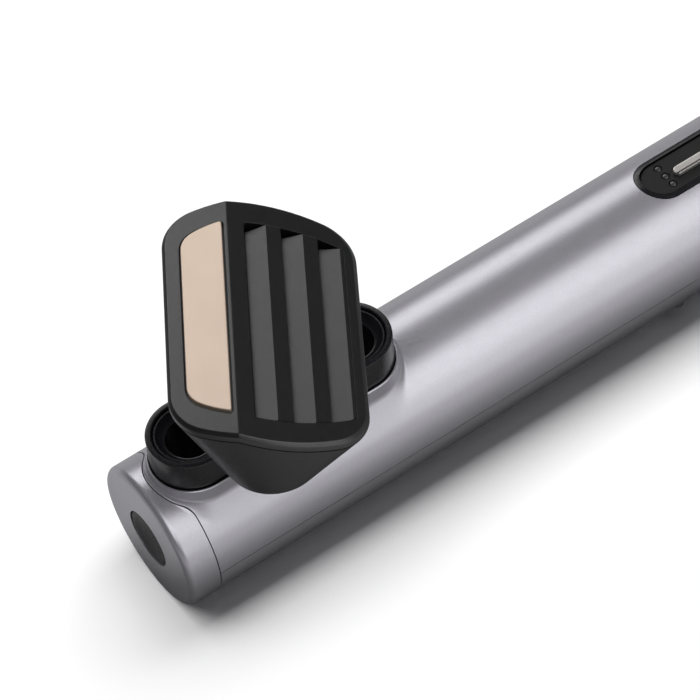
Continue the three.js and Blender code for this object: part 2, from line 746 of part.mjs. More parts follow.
// The spring is drawn at its pressed length, so that it can ride behind the button
function buttonSpring() {
  const end = RETAINER_X - GAP - BUTTON_TRAVEL;
  return coil(SPRING_R, SPRING_WIRE_R, SPRING_TURNS, flangeEnd + GAP, end);
}

function buttonRetainer() {
  const plate = turned([
    [RETAINER_X, BUTTON_STEM_R + RUN], [RETAINER_X + RETAINER_T, BUTTON_STEM_R + RUN],
    [RETAINER_X + RETAINER_T, RETAINER_R], [RETAINER_X, RETAINER_R], [RETAINER_X, BUTTON_STEM_R + RUN],
  ], 40);
  const reach = BORE_R - 2 * GAP - SPIGOT_WALL;
  const arm = block(RETAINER_X, RETAINER_X + RETAINER_T, -2.5, 2.5, -reach, -RETAINER_R + 1);
  const arms = [-1, 0, 1].map((side) => arm.rotate([side * 62, 0, 0]));
  const round = rodX(reach, -FAR, FAR);
  const clear = block(-FAR, FAR, -FAR, FAR, COLLAR_FLANGE_Z - 1, FAR);
  return cut(join(plate, ...arms).intersect(round), clear);
}

function airScoop() {
  const shape = new THREE.Shape();
  const low = -BORE_R + GAP + 2.4;
  shape.moveTo(SCOOP_X0, SCOOP_TOP);
  shape.quadraticCurveTo(SCOOP_X0 + 7, low, SCOOP_X1, low);
  shape.lineTo(SCOOP_X1, low + SCOOP_T);
  shape.quadraticCurveTo(SCOOP_X0 + 8, low + SCOOP_T, SCOOP_X0 + SCOOP_T, SCOOP_TOP);
  const geometry = new THREE.ExtrudeGeometry(shape, {
    depth: 2 * SCOOP_HALF_WIDTH, bevelEnabled: false, curveSegments: ARC,
  });
  geometry.rotateX(Math.PI / 2);
  geometry.translate(0, SCOOP_HALF_WIDTH, 0);
  return solid(geometry);
}

// Heater: a wire wound on crossed mica plates inside a sleeve
const sleeveOuterR = BORE_R - GAP;
const sleeveInnerR = sleeveOuterR - SLEEVE_WALL;

function heaterSleeve() {
  return tubeX(sleeveInnerR, sleeveOuterR, SLEEVE_X0, SLEEVE_X0 + SLEEVE_LENGTH, 32);
}

function micaFrame() {
  const reach = sleeveInnerR - GAP;
  const x0 = SLEEVE_X0 + 1;
  const x1 = SLEEVE_X0 + SLEEVE_LENGTH - 1;
  const upright = block(x0, x1, -MICA_T / 2, MICA_T / 2, -reach, reach);
  const level = block(x0, x1, -reach, reach, -MICA_T / 2, MICA_T / 2);
  const inside = COIL_R * Math.cos(Math.PI / COIL_STEPS) - COIL_WIRE_R - GAP;
  const waist = tubeX(inside, FAR, x0 + MICA_END, x1 - MICA_END, 32);
  return cut(join(upright, level), waist);
}

function heatingWire() {
  const x0 = SLEEVE_X0 + 1 + MICA_END + 2 * GAP;
  const x1 = SLEEVE_X0 + SLEEVE_LENGTH - 1 - MICA_END - 2 * GAP;
  return coil(COIL_R, COIL_WIRE_R, COIL_TURNS, x0, x1);
}

function thermalCutout() {
  const start = SLEEVE_X0 + SLEEVE_LENGTH - 1 + GAP;
  const body = rodX(2.2, start, start + 3.4, 16).translate([0, 0, 6]);
  return join(body, block(start, start + 0.8, -1.5, 1.5, 3, 9));
}

// Fan: shroud with stator vanes round the motor, on a rubber band in the shells
const mountOuterR = BORE_R - GAP;
const mountInnerR = mountOuterR - MOUNT_T;
const shroudOuterR = mountInnerR - GAP;
const shroudInnerR = shroudOuterR - SHROUD_WALL;
const motorX0 = SHROUD_X0 + 2;
const fanX0 = motorX0 + MOTOR_LENGTH + 2;

function fanShroud() {
  const seatInner = MOTOR_R + GAP;
  const seatOuter = seatInner + MOTOR_SEAT_WALL;
  const seatX1 = motorX0 + MOTOR_LENGTH - 5;
  const seat = tubeX(seatInner, seatOuter, motorX0, seatX1, 28);
  const shroud = tubeX(shroudInnerR, shroudOuterR, SHROUD_X0, SHROUD_X0 + SHROUD_LENGTH, 32);
  const vane = block(motorX0, seatX1, -STATOR_T / 2, STATOR_T / 2, seatInner + 0.5, shroudInnerR + 0.5);
  const vanes = [];
  for (let i = 0; i < STATOR_VANES; i++) {
    vanes.push(vane.rotate([i * 360 / STATOR_VANES, 0, 0]));
  }
  return join(shroud, seat, ...vanes);
}

function mountBand() {
  const x0 = SHROUD_X0 + 4;
  return tubeX(mountInnerR, mountOuterR, x0, x0 + MOUNT_LENGTH, 32);
}

function motorCan() {
  const end = motorX0 + MOTOR_LENGTH;
  const nose = 1.5;
  const bore = SHAFT_R + RUN;
  return turned([
    [motorX0, bore], [end, bore], [end, MOTOR_R - nose], [end - nose, MOTOR_R],
    [motorX0 + nose, MOTOR_R], [motorX0, MOTOR_R - nose], [motorX0, bore],
  ], 24);
}

function motorShaft() {
  return rodX(SHAFT_R, motorX0 - 1, fanX0 + FAN_WIDTH + 1, 16);
}

function fanWheel() {
  const x1 = fanX0 + FAN_WIDTH;
  const bore = SHAFT_R + GAP;
  const hub = turned([
    [fanX0, bore], [x1, bore], [x1, FAN_HUB_R - 2], [x1 - 2, FAN_HUB_R], [fanX0, FAN_HUB_R], [fanX0, bore],
  ], 28);
  const mid = (fanX0 + x1) / 2;
  const tip = shroudInnerR - 2 * GAP;
  const blade = block(-FAN_WIDTH, FAN_WIDTH, -FAN_BLADE_T / 2, FAN_BLADE_T / 2, FAN_HUB_R - 1, tip + 1);
  const blades = [];
  for (let i = 0; i < FAN_BLADES; i++) {
    const tilted = blade.rotate([0, 0, FAN_PITCH]).translate([mid, 0, 0]);
    blades.push(tilted.rotate([i * 360 / FAN_BLADES, 0, 0]));
  }
  const swept = tubeX(FAN_HUB_R - 1, tip, fanX0 + 0.5, x1 - 0.5, 28);
  return join(hub, join(...blades).intersect(swept));
}

// Controls: bezel, floor, slider and its carriage, cool button, indicator lenses, board
const floorHole = RECESS_R - GAP - BEZEL_WALL;
const floorBottom = FLOOR_TOP - FLOOR_T;

function controlBezel() {
  const outer = recessPrism(RECESS_R - GAP, floorBottom, FAR);
  return cut(outer.intersect(rodX(BODY_R, 0, FAR)), recessPrism(floorHole, 0, FAR));
}

const slider = { x0: SLIDER_X0, x1: SLIDER_X0 + SLIDER_LENGTH, half: SLIDER_WIDTH / 2 };
const stem = { x0: SLIDER_X0 + (SLIDER_LENGTH - STEM_LENGTH) / 2, half: STEM_WIDTH / 2 };

function controlFloor() {
  const plate = recessPrism(floorHole - GAP, floorBottom, FLOOR_TOP);
  const stemX1 = stem.x0 + STEM_LENGTH + SLIDER_TRAVEL;
  const slot = block(stem.x0 - RUN, stemX1 + RUN, -stem.half - RUN, stem.half + RUN, 0, FAR);
  const coolHole = rodZ(COOL_R + RUN, 0, FAR, COOL_X, 0, 32);
  const lensHoles = lensPlaces().map((y) => rodZ(LENS_R + GAP, 0, FAR, LENS_X, y, 12));
  const feet = [-1, 1].flatMap((side) => [RECESS_X0 + 10, RECESS_X1 - 4.5].map((x) => (
    block(x - 1, x + 1, side * 2.4 - 0.8, side * 2.4 + 0.8, BOARD_TOP + GAP, floorBottom + 0.5)
  )));
  return cut(join(plate, ...feet), slot, coolHole, ...lensHoles);
}

function lensPlaces() {
  return [-1, 0, 1].map((n) => n * LENS_PITCH + LENS_OFFSET);
}

function indicatorLens(y) {
  return rodZ(LENS_R, BOARD_TOP + GAP, FLOOR_TOP + 0.2, LENS_X, y, 12);
}

function controlBoard() {
  const x0 = RECESS_X0 + 2;
  const x1 = RECESS_X1 - 2;
  return block(x0, x1, -BOARD_HALF_WIDTH, BOARD_HALF_WIDTH, BOARD_TOP - BOARD_T, BOARD_TOP);
}

function powerSlider() {
  const bottom = SLIDER_TOP - SLIDER_T;
  const bar = prism(oblong(slider.half, SLIDER_LENGTH / 2 - slider.half), bottom, SLIDER_TOP);
  const side = -slider.half + SLIDER_RIM;
  const groove = block(-FAR, FAR, side, side + SLIDER_GROOVE, SLIDER_TOP - SLIDER_GROOVE_DEPTH, FAR);
  return cut(bar, groove).translate([(slider.x0 + slider.x1) / 2, 0, 0]);
}

function sliderCarriage() {
  const x1 = stem.x0 + STEM_LENGTH;
  const top = SLIDER_TOP - SLIDER_T - GAP;
  const stemBlock = block(stem.x0, x1, -stem.half, stem.half, BOARD_TOP + GAP + RUN, top);
  const base = block(stem.x0 - 2, x1 + 2, -stem.half - 1, stem.half + 1, BOARD_TOP + GAP, floorBottom - RUN);
  return join(stemBlock, base);
}

function coolButton() {
  const flangeTop = floorBottom - RUN;
  const cap = rodZ(COOL_R, flangeTop - 0.2, COOL_TOP, COOL_X, 0, 32);
  const flange = rodZ(COOL_R + RUN + COOL_FLANGE, flangeTop - 0.5, flangeTop, COOL_X, 0, 32);
  const dish = new THREE.SphereGeometry(14, 24, 24);
  dish.translate(COOL_X, 0, COOL_TOP + 13.6);
  return cut(join(cap, flange), solid(dish));
}

function mainsFilter() {
  const { x0, length, halfWidth, height } = FILTER_BOX;
  const bottom = -Math.sqrt((BORE_R - GAP) ** 2 - halfWidth ** 2);
  return block(x0, x0 + length, -halfWidth, halfWidth, bottom, bottom + height);
}

function shellScrew([x, y]) {
  const shank = rodZ(SCREW_R, SCREW_HEAD_Z, SCREW_END_Z, x, y, 8);
  return join(shank, rodZ(SCREW_HEAD_R, SCREW_HEAD_Z - SCREW_HEAD_T, SCREW_HEAD_Z, x, y, 12));
}

// Rear end: slotted guard, filter behind it, end cap and the cord's swivelling gland
const guardX0 = SHELL_END_X + GAP;
const guardX1 = guardX0 + GUARD_LENGTH;
const rearX0 = guardX1 + GAP;
const rearX1 = rearX0 + REAR_CAP_LENGTH;

function intakeGuard() {
  const spigotR = BORE_R - GAP;
  const profile = [
    [guardX0, BODY_R], [guardX0, spigotR], [guardX0 - SPIGOT, spigotR], [guardX0 - SPIGOT, spigotR - SPIGOT_WALL],
    [guardX1, spigotR - SPIGOT_WALL], [guardX1, BODY_R], [guardX0, BODY_R],
  ];
  const slots = [];
  const half = GUARD_SLOT_WIDTH / 2;
  for (let i = 0; i < GUARD_SLOTS; i++) {
    const slot = block(guardX0 + GUARD_SLOT_END, guardX1 - GUARD_SLOT_END, -half, half, -FAR, FAR);
    slots.push(slot.rotate([(i + 0.5) * 180 / GUARD_SLOTS, 0, 0]));
  }
  return cut(turned(profile), restCut(), ...slots);
}

const filterOuterR = BORE_R - 2 * GAP - SPIGOT_WALL;

function intakeFilter() {
  return tubeX(filterOuterR - FILTER_WALL, filterOuterR, guardX0 + 1, guardX1 - 1, 32);
}

function rearCap() {
  const edge = [];
  const steps = 2;
  for (let i = 0; i <= steps; i++) {
    const angle = (i / steps) * Math.PI / 2;
    edge.push([rearX1 - CAP_EDGE_R * (1 - Math.sin(angle)), BODY_R - CAP_EDGE_R * (1 - Math.cos(angle))]);
  }
  const hole = GLAND_R + RUN;
  const wall = CAP_FACE_WALL;
  const spigotR = filterOuterR;
  return cut(turned([
    [rearX0, BODY_R], ...edge, [rearX1, hole], [rearX1 - wall, hole],
    [rearX1 - wall, BORE_R - 3], [rearX0 - 0.6, BORE_R - 3], [rearX0 - 0.6, spigotR], [rearX0, spigotR],
    [rearX0, BODY_R],
  ]), restCut());
}

function cordGland() {
  const inside = rearX1 - CAP_FACE_WALL - RUN;
  const outside = rearX1 + GLAND_PROUD;
  return turned([
    [inside - GLAND_FLANGE_T, GLAND_BORE], [outside, GLAND_BORE], [outside, GLAND_R - 1],
    [outside - 1, GLAND_R], [inside, GLAND_R], [inside, GLAND_R + GLAND_FLANGE + RUN],
    [inside - GLAND_FLANGE_T, GLAND_R + GLAND_FLANGE + RUN], [inside - GLAND_FLANGE_T, GLAND_BORE],
  ], 32);
}

function glandKeeper() {
  const front = rearX1 - CAP_FACE_WALL - 2 * RUN - GLAND_FLANGE_T;
  return turned([
    [front - 1.5, GLAND_R - 1], [front, GLAND_R - 1], [front, BORE_R - 3 - GAP],
    [front - 1.5, BORE_R - 3 - GAP], [front - 1.5, GLAND_R - 1],
  ], 32);
}

add(wand, 'upper_shell', upperShell(), SATIN_SILVER);
add(wand, 'lower_shell', lowerShell(), SATIN_SILVER);
add(wand, 'nose_cap', noseCap(), SATIN_SILVER);
add(wand, 'end_button', endButton(), DARK_LENS);
add(wand, 'button_spring', buttonSpring(), STEEL);
add(wand, 'button_retainer', buttonRetainer(), NYLON);
add(wand, 'outlet_collar', collar(), GLOSS_BLACK);
add(wand, 'collar_liner', liner(), GLOSS_BLACK);
add(wand, 'swivel_hub', swivelHub(), CHARCOAL);
add(wand, 'hub_bush', hubBush(), BRONZE);
add(wand, 'air_scoop', airScoop(), NYLON);
add(wand, 'heater_sleeve', heaterSleeve(), MICA);
add(wand, 'mica_frame', micaFrame(), MICA);
add(wand, 'heating_wire', heatingWire(), STEEL);
add(wand, 'thermal_cutout', thermalCutout(), STEEL);
add(wand, 'fan_shroud', fanShroud(), NYLON);
add(wand, 'mount_band', mountBand(), RUBBER);
add(wand, 'motor_can', motorCan(), STEEL);
add(wand, 'motor_shaft', motorShaft(), STEEL);
add(wand, 'fan_wheel', fanWheel(), NYLON);
add(wand, 'control_bezel', controlBezel(), GLOSS_BLACK);
add(wand, 'control_floor', controlFloor(), CHARCOAL);
lensPlaces().forEach((y, i) => add(wand, `indicator_lens_${i + 1}`, indicatorLens(y), DARK_LENS));
add(wand, 'control_board', controlBoard(), BOARD_GREEN);
add(wand, 'power_slider', powerSlider(), CHAMPAGNE);
add(wand, 'slider_carriage', sliderCarriage(), CHARCOAL);
add(wand, 'cool_button', coolButton(), CHARCOAL);
add(wand, 'mains_filter', mainsFilter(), BOARD_GREEN);
screwPlaces.forEach((place, i) => add(wand, `shell_screw_${i + 1}`, shellScrew(place), STEEL));
add(wand, 'intake_guard', intakeGuard(), CHARCOAL);
add(wand, 'intake_filter', intakeFilter(), STEEL);
add(wand, 'rear_cap', rearCap(), CHARCOAL);
add(wand, 'cord_gland', cordGland(), RUBBER);
add(wand, 'gland_keeper', glandKeeper(), NYLON);
add(head, 'head_housing', headHousing(), CHARCOAL);
add(head, 'front_cover', frontCover(), CHARCOAL);
add(head, 'smoothing_plate', smoothingPlate(), CHAMPAGNE);
add(head, 'plate_insulator', plateInsulator(), MICA);
add(head, 'louvre_grille', louvreGrille(), CHARCOAL);
headPosts().forEach((p, i) => add(head, `head_screw_${i + 1}`, p.screw, STEEL));
add(head, 'swivel_pin', swivelPin(), STEEL);
add(head, 'retaining_clip', retainingClip(), STEEL);

export default styler;
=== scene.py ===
"""A blower hair styler on a white studio floor: a satin silver wand whose oblong black collar
carries a swivelling dark head with a champagne smoothing plate and a louvred air outlet.

Lengths are in metres. X runs along the wand from its nose, Z points up out of the collar."""
import json
import math
from contextlib import contextmanager

import bpy
from bpy.props import FloatProperty, FloatVectorProperty, PointerProperty
from bpy.types import Operator, Panel, PropertyGroup
from mathutils import Matrix, Vector


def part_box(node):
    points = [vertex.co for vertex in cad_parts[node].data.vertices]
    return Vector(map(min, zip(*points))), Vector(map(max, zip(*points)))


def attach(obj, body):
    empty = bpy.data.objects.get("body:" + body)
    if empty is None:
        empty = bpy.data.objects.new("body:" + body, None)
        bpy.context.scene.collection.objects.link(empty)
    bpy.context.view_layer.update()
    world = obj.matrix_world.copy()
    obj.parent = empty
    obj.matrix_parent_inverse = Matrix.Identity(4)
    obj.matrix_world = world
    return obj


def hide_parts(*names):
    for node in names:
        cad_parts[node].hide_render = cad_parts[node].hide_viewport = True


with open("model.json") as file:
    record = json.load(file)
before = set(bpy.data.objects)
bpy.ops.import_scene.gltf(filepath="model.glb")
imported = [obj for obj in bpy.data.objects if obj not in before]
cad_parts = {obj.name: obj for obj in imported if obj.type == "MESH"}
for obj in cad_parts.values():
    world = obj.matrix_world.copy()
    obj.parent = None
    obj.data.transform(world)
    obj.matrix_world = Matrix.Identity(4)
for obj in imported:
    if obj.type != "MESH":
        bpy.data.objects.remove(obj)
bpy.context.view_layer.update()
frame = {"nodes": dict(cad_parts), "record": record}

bl_info = {
    "name": "Hair Styler",
    "version": (1, 0, 0),
    "blender": (4, 5, 0),
    "location": "3D View > Sidebar > Styler",
    "description": "Models and finishes the pieces of a blower hair styler",
    "category": "Object",
}

MM = 0.001

# Places read off the solids
AXIS_Z = sum(corner.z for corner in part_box("motor_shaft")) / 2
BODY_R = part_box("upper_shell")[1].y
NOSE_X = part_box("nose_cap")[0].x
SEAM_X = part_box("lower_shell")[0].x
SHELL_END_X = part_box("lower_shell")[1].x
COLLAR_TOP_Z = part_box("outlet_collar")[1].z
BOSS_TOP_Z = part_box("upper_shell")[1].z
FOOT_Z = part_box("head_housing")[0].z
PLATE_TOP_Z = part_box("smoothing_plate")[1].z

# Shapes shared by several pieces
GAP = 0.3 * MM
RUN = 0.4 * MM
COLLAR_R = 11.4 * MM
COLLAR_HALF = 25.2 * MM
CAP_FACE = NOSE_X + 0.55 * MM
SHELL_WALL = 2.2 * MM
BLEND_END = 62 * MM  # behind it the wand is plain and round
BUTTON_R = 8.1 * MM
RIDGE_Y = 6.8 * MM
RIDGE_Z = 29.5 * MM
WINDOW_NEAR = 2.6 * MM
LOUVRE_PITCH = 9.2 * MM
LOUVRE_WIDTH = 5.6 * MM
AIR_SLOPE = math.tan(math.radians(22.7))
LIP = 2.7 * MM
COVER_EDGE = 0.9 * MM
HEAD_TURN = math.radians(58.8)
RECESS_TIP = 121.3 * MM
RECESS_END = 197 * MM
RECESS_R = 7.8 * MM
RECESS_X = (RECESS_TIP + RECESS_END) / 2
RECESS_Y = 0.6 * MM
RECESS_HALF = (RECESS_END - RECESS_TIP) / 2 - RECESS_R
FAR = 0.4  # beyond every end of the styler
ABOVE = 0.1  # higher than the wand
OVER_HEAD = 50 * MM  # higher than the ridge, from the head's foot
FINE = 128  # facets round the wand
QUARTER = 32  # facets on a quarter of the head's outline
SAME_PLACE = 1e-6  # points nearer than this are one point


def real(name, text, default, low=0.0, high=1.0):
    """A length that a user may change."""
    return FloatProperty(
        name=name, description=text, default=default, min=low, max=high, precision=5, unit="LENGTH"
    )


def angle(name, text, degrees):
    """An angle that a user may change."""
    return FloatProperty(name=name, description=text, default=math.radians(degrees), subtype="ANGLE")


def paint(name, text, default):
    """A colour that a user may change."""
    return FloatVectorProperty(
        name=name, description=text, default=default, min=0, max=1, size=3, subtype="COLOR"
    )


class StylerSizes(PropertyGroup):
    boss_reach: real("Boss reach", "How far the boss spreads over the wand's side", 4.8 * MM)
    boss_reach_end: real("Boss end reach", "How far the boss spreads at its two ends", 1.3 * MM)
    boss_wall: real("Boss wall", "Width of the silver edge round the collar", 0.6 * MM)
    boss_foot: FloatProperty(
        name="Boss foot", description="Share of the boss's height that its fillet takes",
        default=0.3, min=0, max=1,
    )
    cap_edge: real("Cap edge", "Radius of the nose cap's outer edge", 2.1 * MM)
    soft_edge: real("Soft edge", "Radius of the small edges of moulded pieces", 0.22 * MM)
    plate_edge: real("Plate edge", "Width of the smoothing plate's bevel", 0.28 * MM)
    button_dish: real("Button dish", "Depth of the dish in the end button", 0.9 * MM)


class StylerColours(PropertyGroup):
    silver: paint("Silver", "Satin metallic paint of the wand", (0.5, 0.49, 0.53))
    charcoal: paint("Charcoal", "Fine matte moulding of the head", (0.003, 0.003, 0.003))
    black: paint("Black", "Half gloss trim of the collar and the controls", (0.005, 0.005, 0.006))
    champagne: paint("Champagne", "Coat of the smoothing plate", (0.46, 0.367, 0.296))
    slider: paint("Slider", "Satin bar in the control recess", (0.66, 0.63, 0.6))
    button: paint("Button", "Dark end button", (0.006, 0.006, 0.008))


def brightness(name, text, default):
    """How bright a lamp looks, where 1 is white."""
    return FloatProperty(name=name, description=text, default=default, min=0, max=100)


class StylerStage(PropertyGroup):
    front_light: brightness("Front light", "Broad softbox in front, above the wand", 1.2)
    low_light: brightness("Low light", "Card in front, near the floor", 0.85)
    back_light: brightness("Back light", "Strip of light behind the wand", 1.3)
    head_light: brightness("Head light", "Card behind, for the head alone", 0.95)
    key_light: brightness("Key light", "Broad lamp above and behind, which throws the shadow", 2.97)
    surround: brightness("Surround", "The room round the styler", 0.06)
    azimuth: angle("Azimuth", "Camera's place round the styler", -29.5)
    elevation: angle("Elevation", "Camera's height angle", 52.18)
    roll: angle("Roll", "Camera's turn about its own line of sight", -6.9)
    distance: real("Distance", "Camera's distance", 0.895, 0.1, 5.0)


def sizes():
    return bpy.context.scene.styler_sizes


def colours():
    return bpy.context.scene.styler_colours


def stage_settings():
    return bpy.context.scene.styler_stage


# Modelling by hand


def active(piece):
    """Makes one object the only selected one."""
    bpy.ops.object.select_all(action="DESELECT")
    piece.select_set(True)
    bpy.context.view_layer.objects.active = piece


def apply_place(piece):
    """Moves an object's place, turn and size into its mesh."""
    active(piece)
    bpy.ops.object.transform_apply(location=True, rotation=True, scale=True)
    return piece


@contextmanager
def edit_mode(piece, select="SELECT"):
    """Edit mode on one object, with all of its points selected, or none, or as they were."""
    active(piece)
    bpy.ops.object.mode_set(mode="EDIT")
    if select:
        bpy.ops.mesh.select_all(action=select)
    yield
    bpy.ops.object.mode_set(mode="OBJECT")


def tidy(piece):
    """Merges doubled points and turns every face outwards."""
    with edit_mode(piece):
        bpy.ops.mesh.remove_doubles(threshold=SAME_PLACE)
        bpy.ops.mesh.normals_make_consistent(inside=False)
    return piece


def drawn(stations, facets=FINE, along="Z", closed=False):
    """A round shape: a circle drawn out from station to station, each a place and a radius.
    Its ends are filled, or joined to each other where it closes on itself."""
    upright = along == "Z"

    def at(distance):
        return (0, 0, distance) if upright else (distance, 0, 0)

    place, radius = stations[0]
    bpy.ops.mesh.primitive_circle_add(vertices=facets, radius=radius)
    piece = bpy.context.object
    with edit_mode(piece):
        turn, axis = (math.pi / facets, "Z") if upright else (math.pi / 2, "Y")
        bpy.ops.transform.rotate(value=turn, orient_axis=axis, center_override=(0, 0, 0))
        bpy.ops.transform.translate(value=at(place))
        for next_place, next_radius in stations[1:]:
            bpy.ops.mesh.extrude_region_move(TRANSFORM_OT_translate={"value": at(next_place - place)})
            grow = next_radius / radius
            bpy.ops.transform.resize(
                value=(grow, grow, 1) if upright else (1, grow, grow), center_override=at(next_place)
            )
            place, radius = next_place, next_radius
        bpy.ops.mesh.select_all(action="DESELECT")
        bpy.ops.mesh.select_non_manifold()
        if closed:
            bpy.ops.mesh.bridge_edge_loops()
        else:
            bpy.ops.mesh.fill_holes(sides=0)
    return tidy(piece)


def pick(piece, wanted):
    """Selects the points that a test on their place accepts, and nothing else."""
    active(piece)
    for face in piece.data.polygons:
        face.select = False
    for edge in piece.data.edges:
        edge.select = False
    for vertex in piece.data.vertices:
        vertex.select = wanted(vertex.co)


def pulled_apart(piece, half):
    """A round upright shape becomes oblong: its halves move apart along X."""
    for side in (-1, 1):
        pick(piece, lambda place: place.x * side > 0)
        with edit_mode(piece, None):
            bpy.ops.transform.translate(value=(side * half, 0, 0))
    return piece


def oblong(stations, half, facets=FINE, closed=False):
    return pulled_apart(drawn(stations, facets, "Z", closed), half)


def block(x0, x1, y0, y1, z0, z1):
    """A rectangular tool for cutting."""
    middle = ((x0 + x1) / 2, (y0 + y1) / 2, (z0 + z1) / 2)
    bpy.ops.mesh.primitive_cube_add(size=1, location=middle, scale=(x1 - x0, y1 - y0, z1 - z0))
    return apply_place(bpy.context.object)


def rod(radius, z0, z1, x=0.0, y=0.0, facets=32):
    """A round upright tool for cutting."""
    bpy.ops.mesh.primitive_cylinder_add(
        vertices=facets, radius=radius, depth=z1 - z0, location=(x, y, (z0 + z1) / 2)
    )
    return apply_place(bpy.context.object)


def modify(piece, kind, **settings):
    """Adds one modifier and applies it."""
    active(piece)
    modifier = piece.modifiers.new(kind.lower(), kind)
    for key, value in settings.items():
        setattr(modifier, key, value)
    bpy.ops.object.modifier_apply(modifier=modifier.name)


def combine(piece, *tools, how="DIFFERENCE"):
    """Cuts, joins or trims a piece with other solids, which are used up."""
    for tool in tools:
        modify(piece, "BOOLEAN", operation=how, object=tool, solver="EXACT")
        bpy.data.objects.remove(tool)
    return piece


def half_of(piece, point, normal):
    """Keeps what lies behind a plane and closes the cut."""
    with edit_mode(piece):
        bpy.ops.mesh.bisect(
            plane_co=point, plane_no=normal, use_fill=True, clear_outer=True, threshold=SAME_PLACE
        )


def soften(piece, width, angle, segments=2):
    """Rounds the edges that are sharper than an angle."""
    modify(
        piece, "BEVEL", width=width, segments=segments, limit_method="ANGLE",
        angle_limit=math.radians(angle), miter_outer="MITER_ARC", use_clamp_overlap=True,
    )


def moved(piece, x=0.0, y=0.0, z=0.0):
    piece.location = (x, y, z)
    return apply_place(piece)


def lathed(stations, facets, closed=False):
    """A round shape about the wand's own axis."""
    return moved(drawn(stations, facets, "X", closed), z=AXIS_Z)


def in_recess(stations, closed=False):
    """An oblong shape in the middle of the control recess."""
    return moved(oblong(stations, RECESS_HALF, 96, closed), RECESS_X, RECESS_Y)


def copied(piece):
    """A copy with a mesh of its own."""
    twin = piece.copy()
    twin.data = piece.data.copy()
    bpy.context.scene.collection.objects.link(twin)
    return twin


def skin_of(name, rings, ends=None):
    """A mesh through rings of equally many points. One face closes each end, unless other faces
    are given for that, or none."""
    count = len(rings[0])
    top = (len(rings) - 1) * count
    ends = [range(count)] if ends is None else ends
    points = [point for ring in rings for point in ring]
    faces = []
    for level in range(len(rings) - 1):
        for i in range(count):
            a = level * count + i
            b = level * count + (i + 1) % count
            faces.append((a, b, b + count, a + count))
    faces += [tuple(reversed(end)) for end in ends]
    faces += [tuple(top + i for i in end) for end in ends]
    mesh = bpy.data.meshes.new(name)
    mesh.from_pydata(points, [], faces)
    piece = bpy.data.objects.new(name, mesh)
    bpy.context.scene.collection.objects.link(piece)
    return piece


def dress(piece, name, body, nodes, slot, finish=None, flat=True):
    """Names and finishes a piece, and lets it stand for its solids. Its finish is its slot's, unless
    another is named. Where it has flat faces, they stay flat in the light beside rounded edges."""
    piece.name = name
    piece.data.name = name
    piece.data.materials.clear()
    piece.data.materials.append(FINISHES[finish or slot])
    active(piece)
    bpy.ops.object.shade_smooth_by_angle(angle=math.radians(32), keep_sharp_edges=False)
    if flat:
        modify(piece, "WEIGHTED_NORMAL", weight=50, keep_sharp=True)
    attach(piece, body)
    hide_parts(*nodes)


# Finishes


def add_node(tree, kind, feeds, **settings):
    """Adds a node. What feeds an input is a value, or another node's output."""
    made = tree.nodes.new("ShaderNode" + kind)
    for key, value in settings.items():
        setattr(made, key, value)
    for key, feed in feeds.items():
        if isinstance(feed, bpy.types.NodeSocket):
            tree.links.new(feed, made.inputs[key])
        else:
            made.inputs[key].default_value = feed
    return made


class Finish:
    """A node material whose texture follows the piece's own place."""

    def __init__(self, name, metallic=0.0, specular=0.5):
        self.material = bpy.data.materials.new(name)
        self.material.use_nodes = True
        self.tree = self.material.node_tree
        self.shader = self.tree.nodes["Principled BSDF"]
        self.shader.inputs["Metallic"].default_value = metallic
        self.shader.inputs["Specular IOR Level"].default_value = specular
        self.place = self.add("TexCoord", {}).outputs["Object"]

    def add(self, kind, feeds, **settings):
        return add_node(self.tree, kind, feeds, **settings)

    def feed(self, output, key):
        self.tree.links.new(output, self.shader.inputs[key])

    def mapped(self, **change):
        """The piece's own place, turned or stretched."""
        feeds = {key.title(): value for key, value in change.items()}
        return self.add("Mapping", {"Vector": self.place, **feeds}).outputs["Vector"]

    def noise(self, scale, detail=2.0, stretch=(1, 1, 1)):
        """Noise with features about one over scale metres wide."""
        place = self.mapped(scale=stretch)
        return self.add("TexNoise", {"Vector": place, "Scale": scale, "Detail": detail}).outputs["Fac"]

    def spread(self, source, low, high):
        """Maps noise to a range of values."""
        return self.add("MapRange", {
            "Value": source, "From Min": 0.3, "From Max": 0.7, "To Min": low, "To Max": high,
        }).outputs["Result"]

    def colour(self, source, base, change):
        """A base colour that noise makes a little darker and lighter."""
        mix = self.add("Mix", {
            "Factor": self.spread(source, 0, 1),
            "A": (*[c * (1 - change) for c in base], 1),
            "B": (*[min(1, c * (1 + change)) for c in base], 1),
        }, data_type="RGBA")
        self.feed(mix.outputs["Result"], "Base Color")

    def roughness(self, source, low, high):
        self.feed(self.spread(source, low, high), "Roughness")

    def bumped(self, source, depth, strength):
        """Adds the relief and hands the finished material over."""
        bump = self.add("Bump", {"Height": source, "Strength": strength, "Distance": depth})
        self.feed(bump.outputs["Normal"], "Normal")
        return self.material


def moulded(name, base, rough, grain=3200, depth=0.012 * MM, specular=0.5, change=0.12):
    """A moulded plastic with a fine even grain."""
    finish = Finish(name, specular=specular)
    fine = finish.noise(grain, 3)
    finish.colour(finish.noise(260, 4), base, change)
    finish.roughness(finish.noise(900, 3), rough - 0.04, rough + 0.04)
    return finish.bumped(fine, depth, 0.25)


def metallic_paint(name, base, rough):
    """Paint with fine flakes under a thin even coat."""
    finish = Finish(name, metallic=0.85)
    finish.colour(finish.noise(3000), base, 0.05)
    finish.roughness(finish.noise(700), rough - 0.025, rough + 0.025)
    return finish.bumped(finish.noise(2200, 1), 0.003 * MM, 0.12)


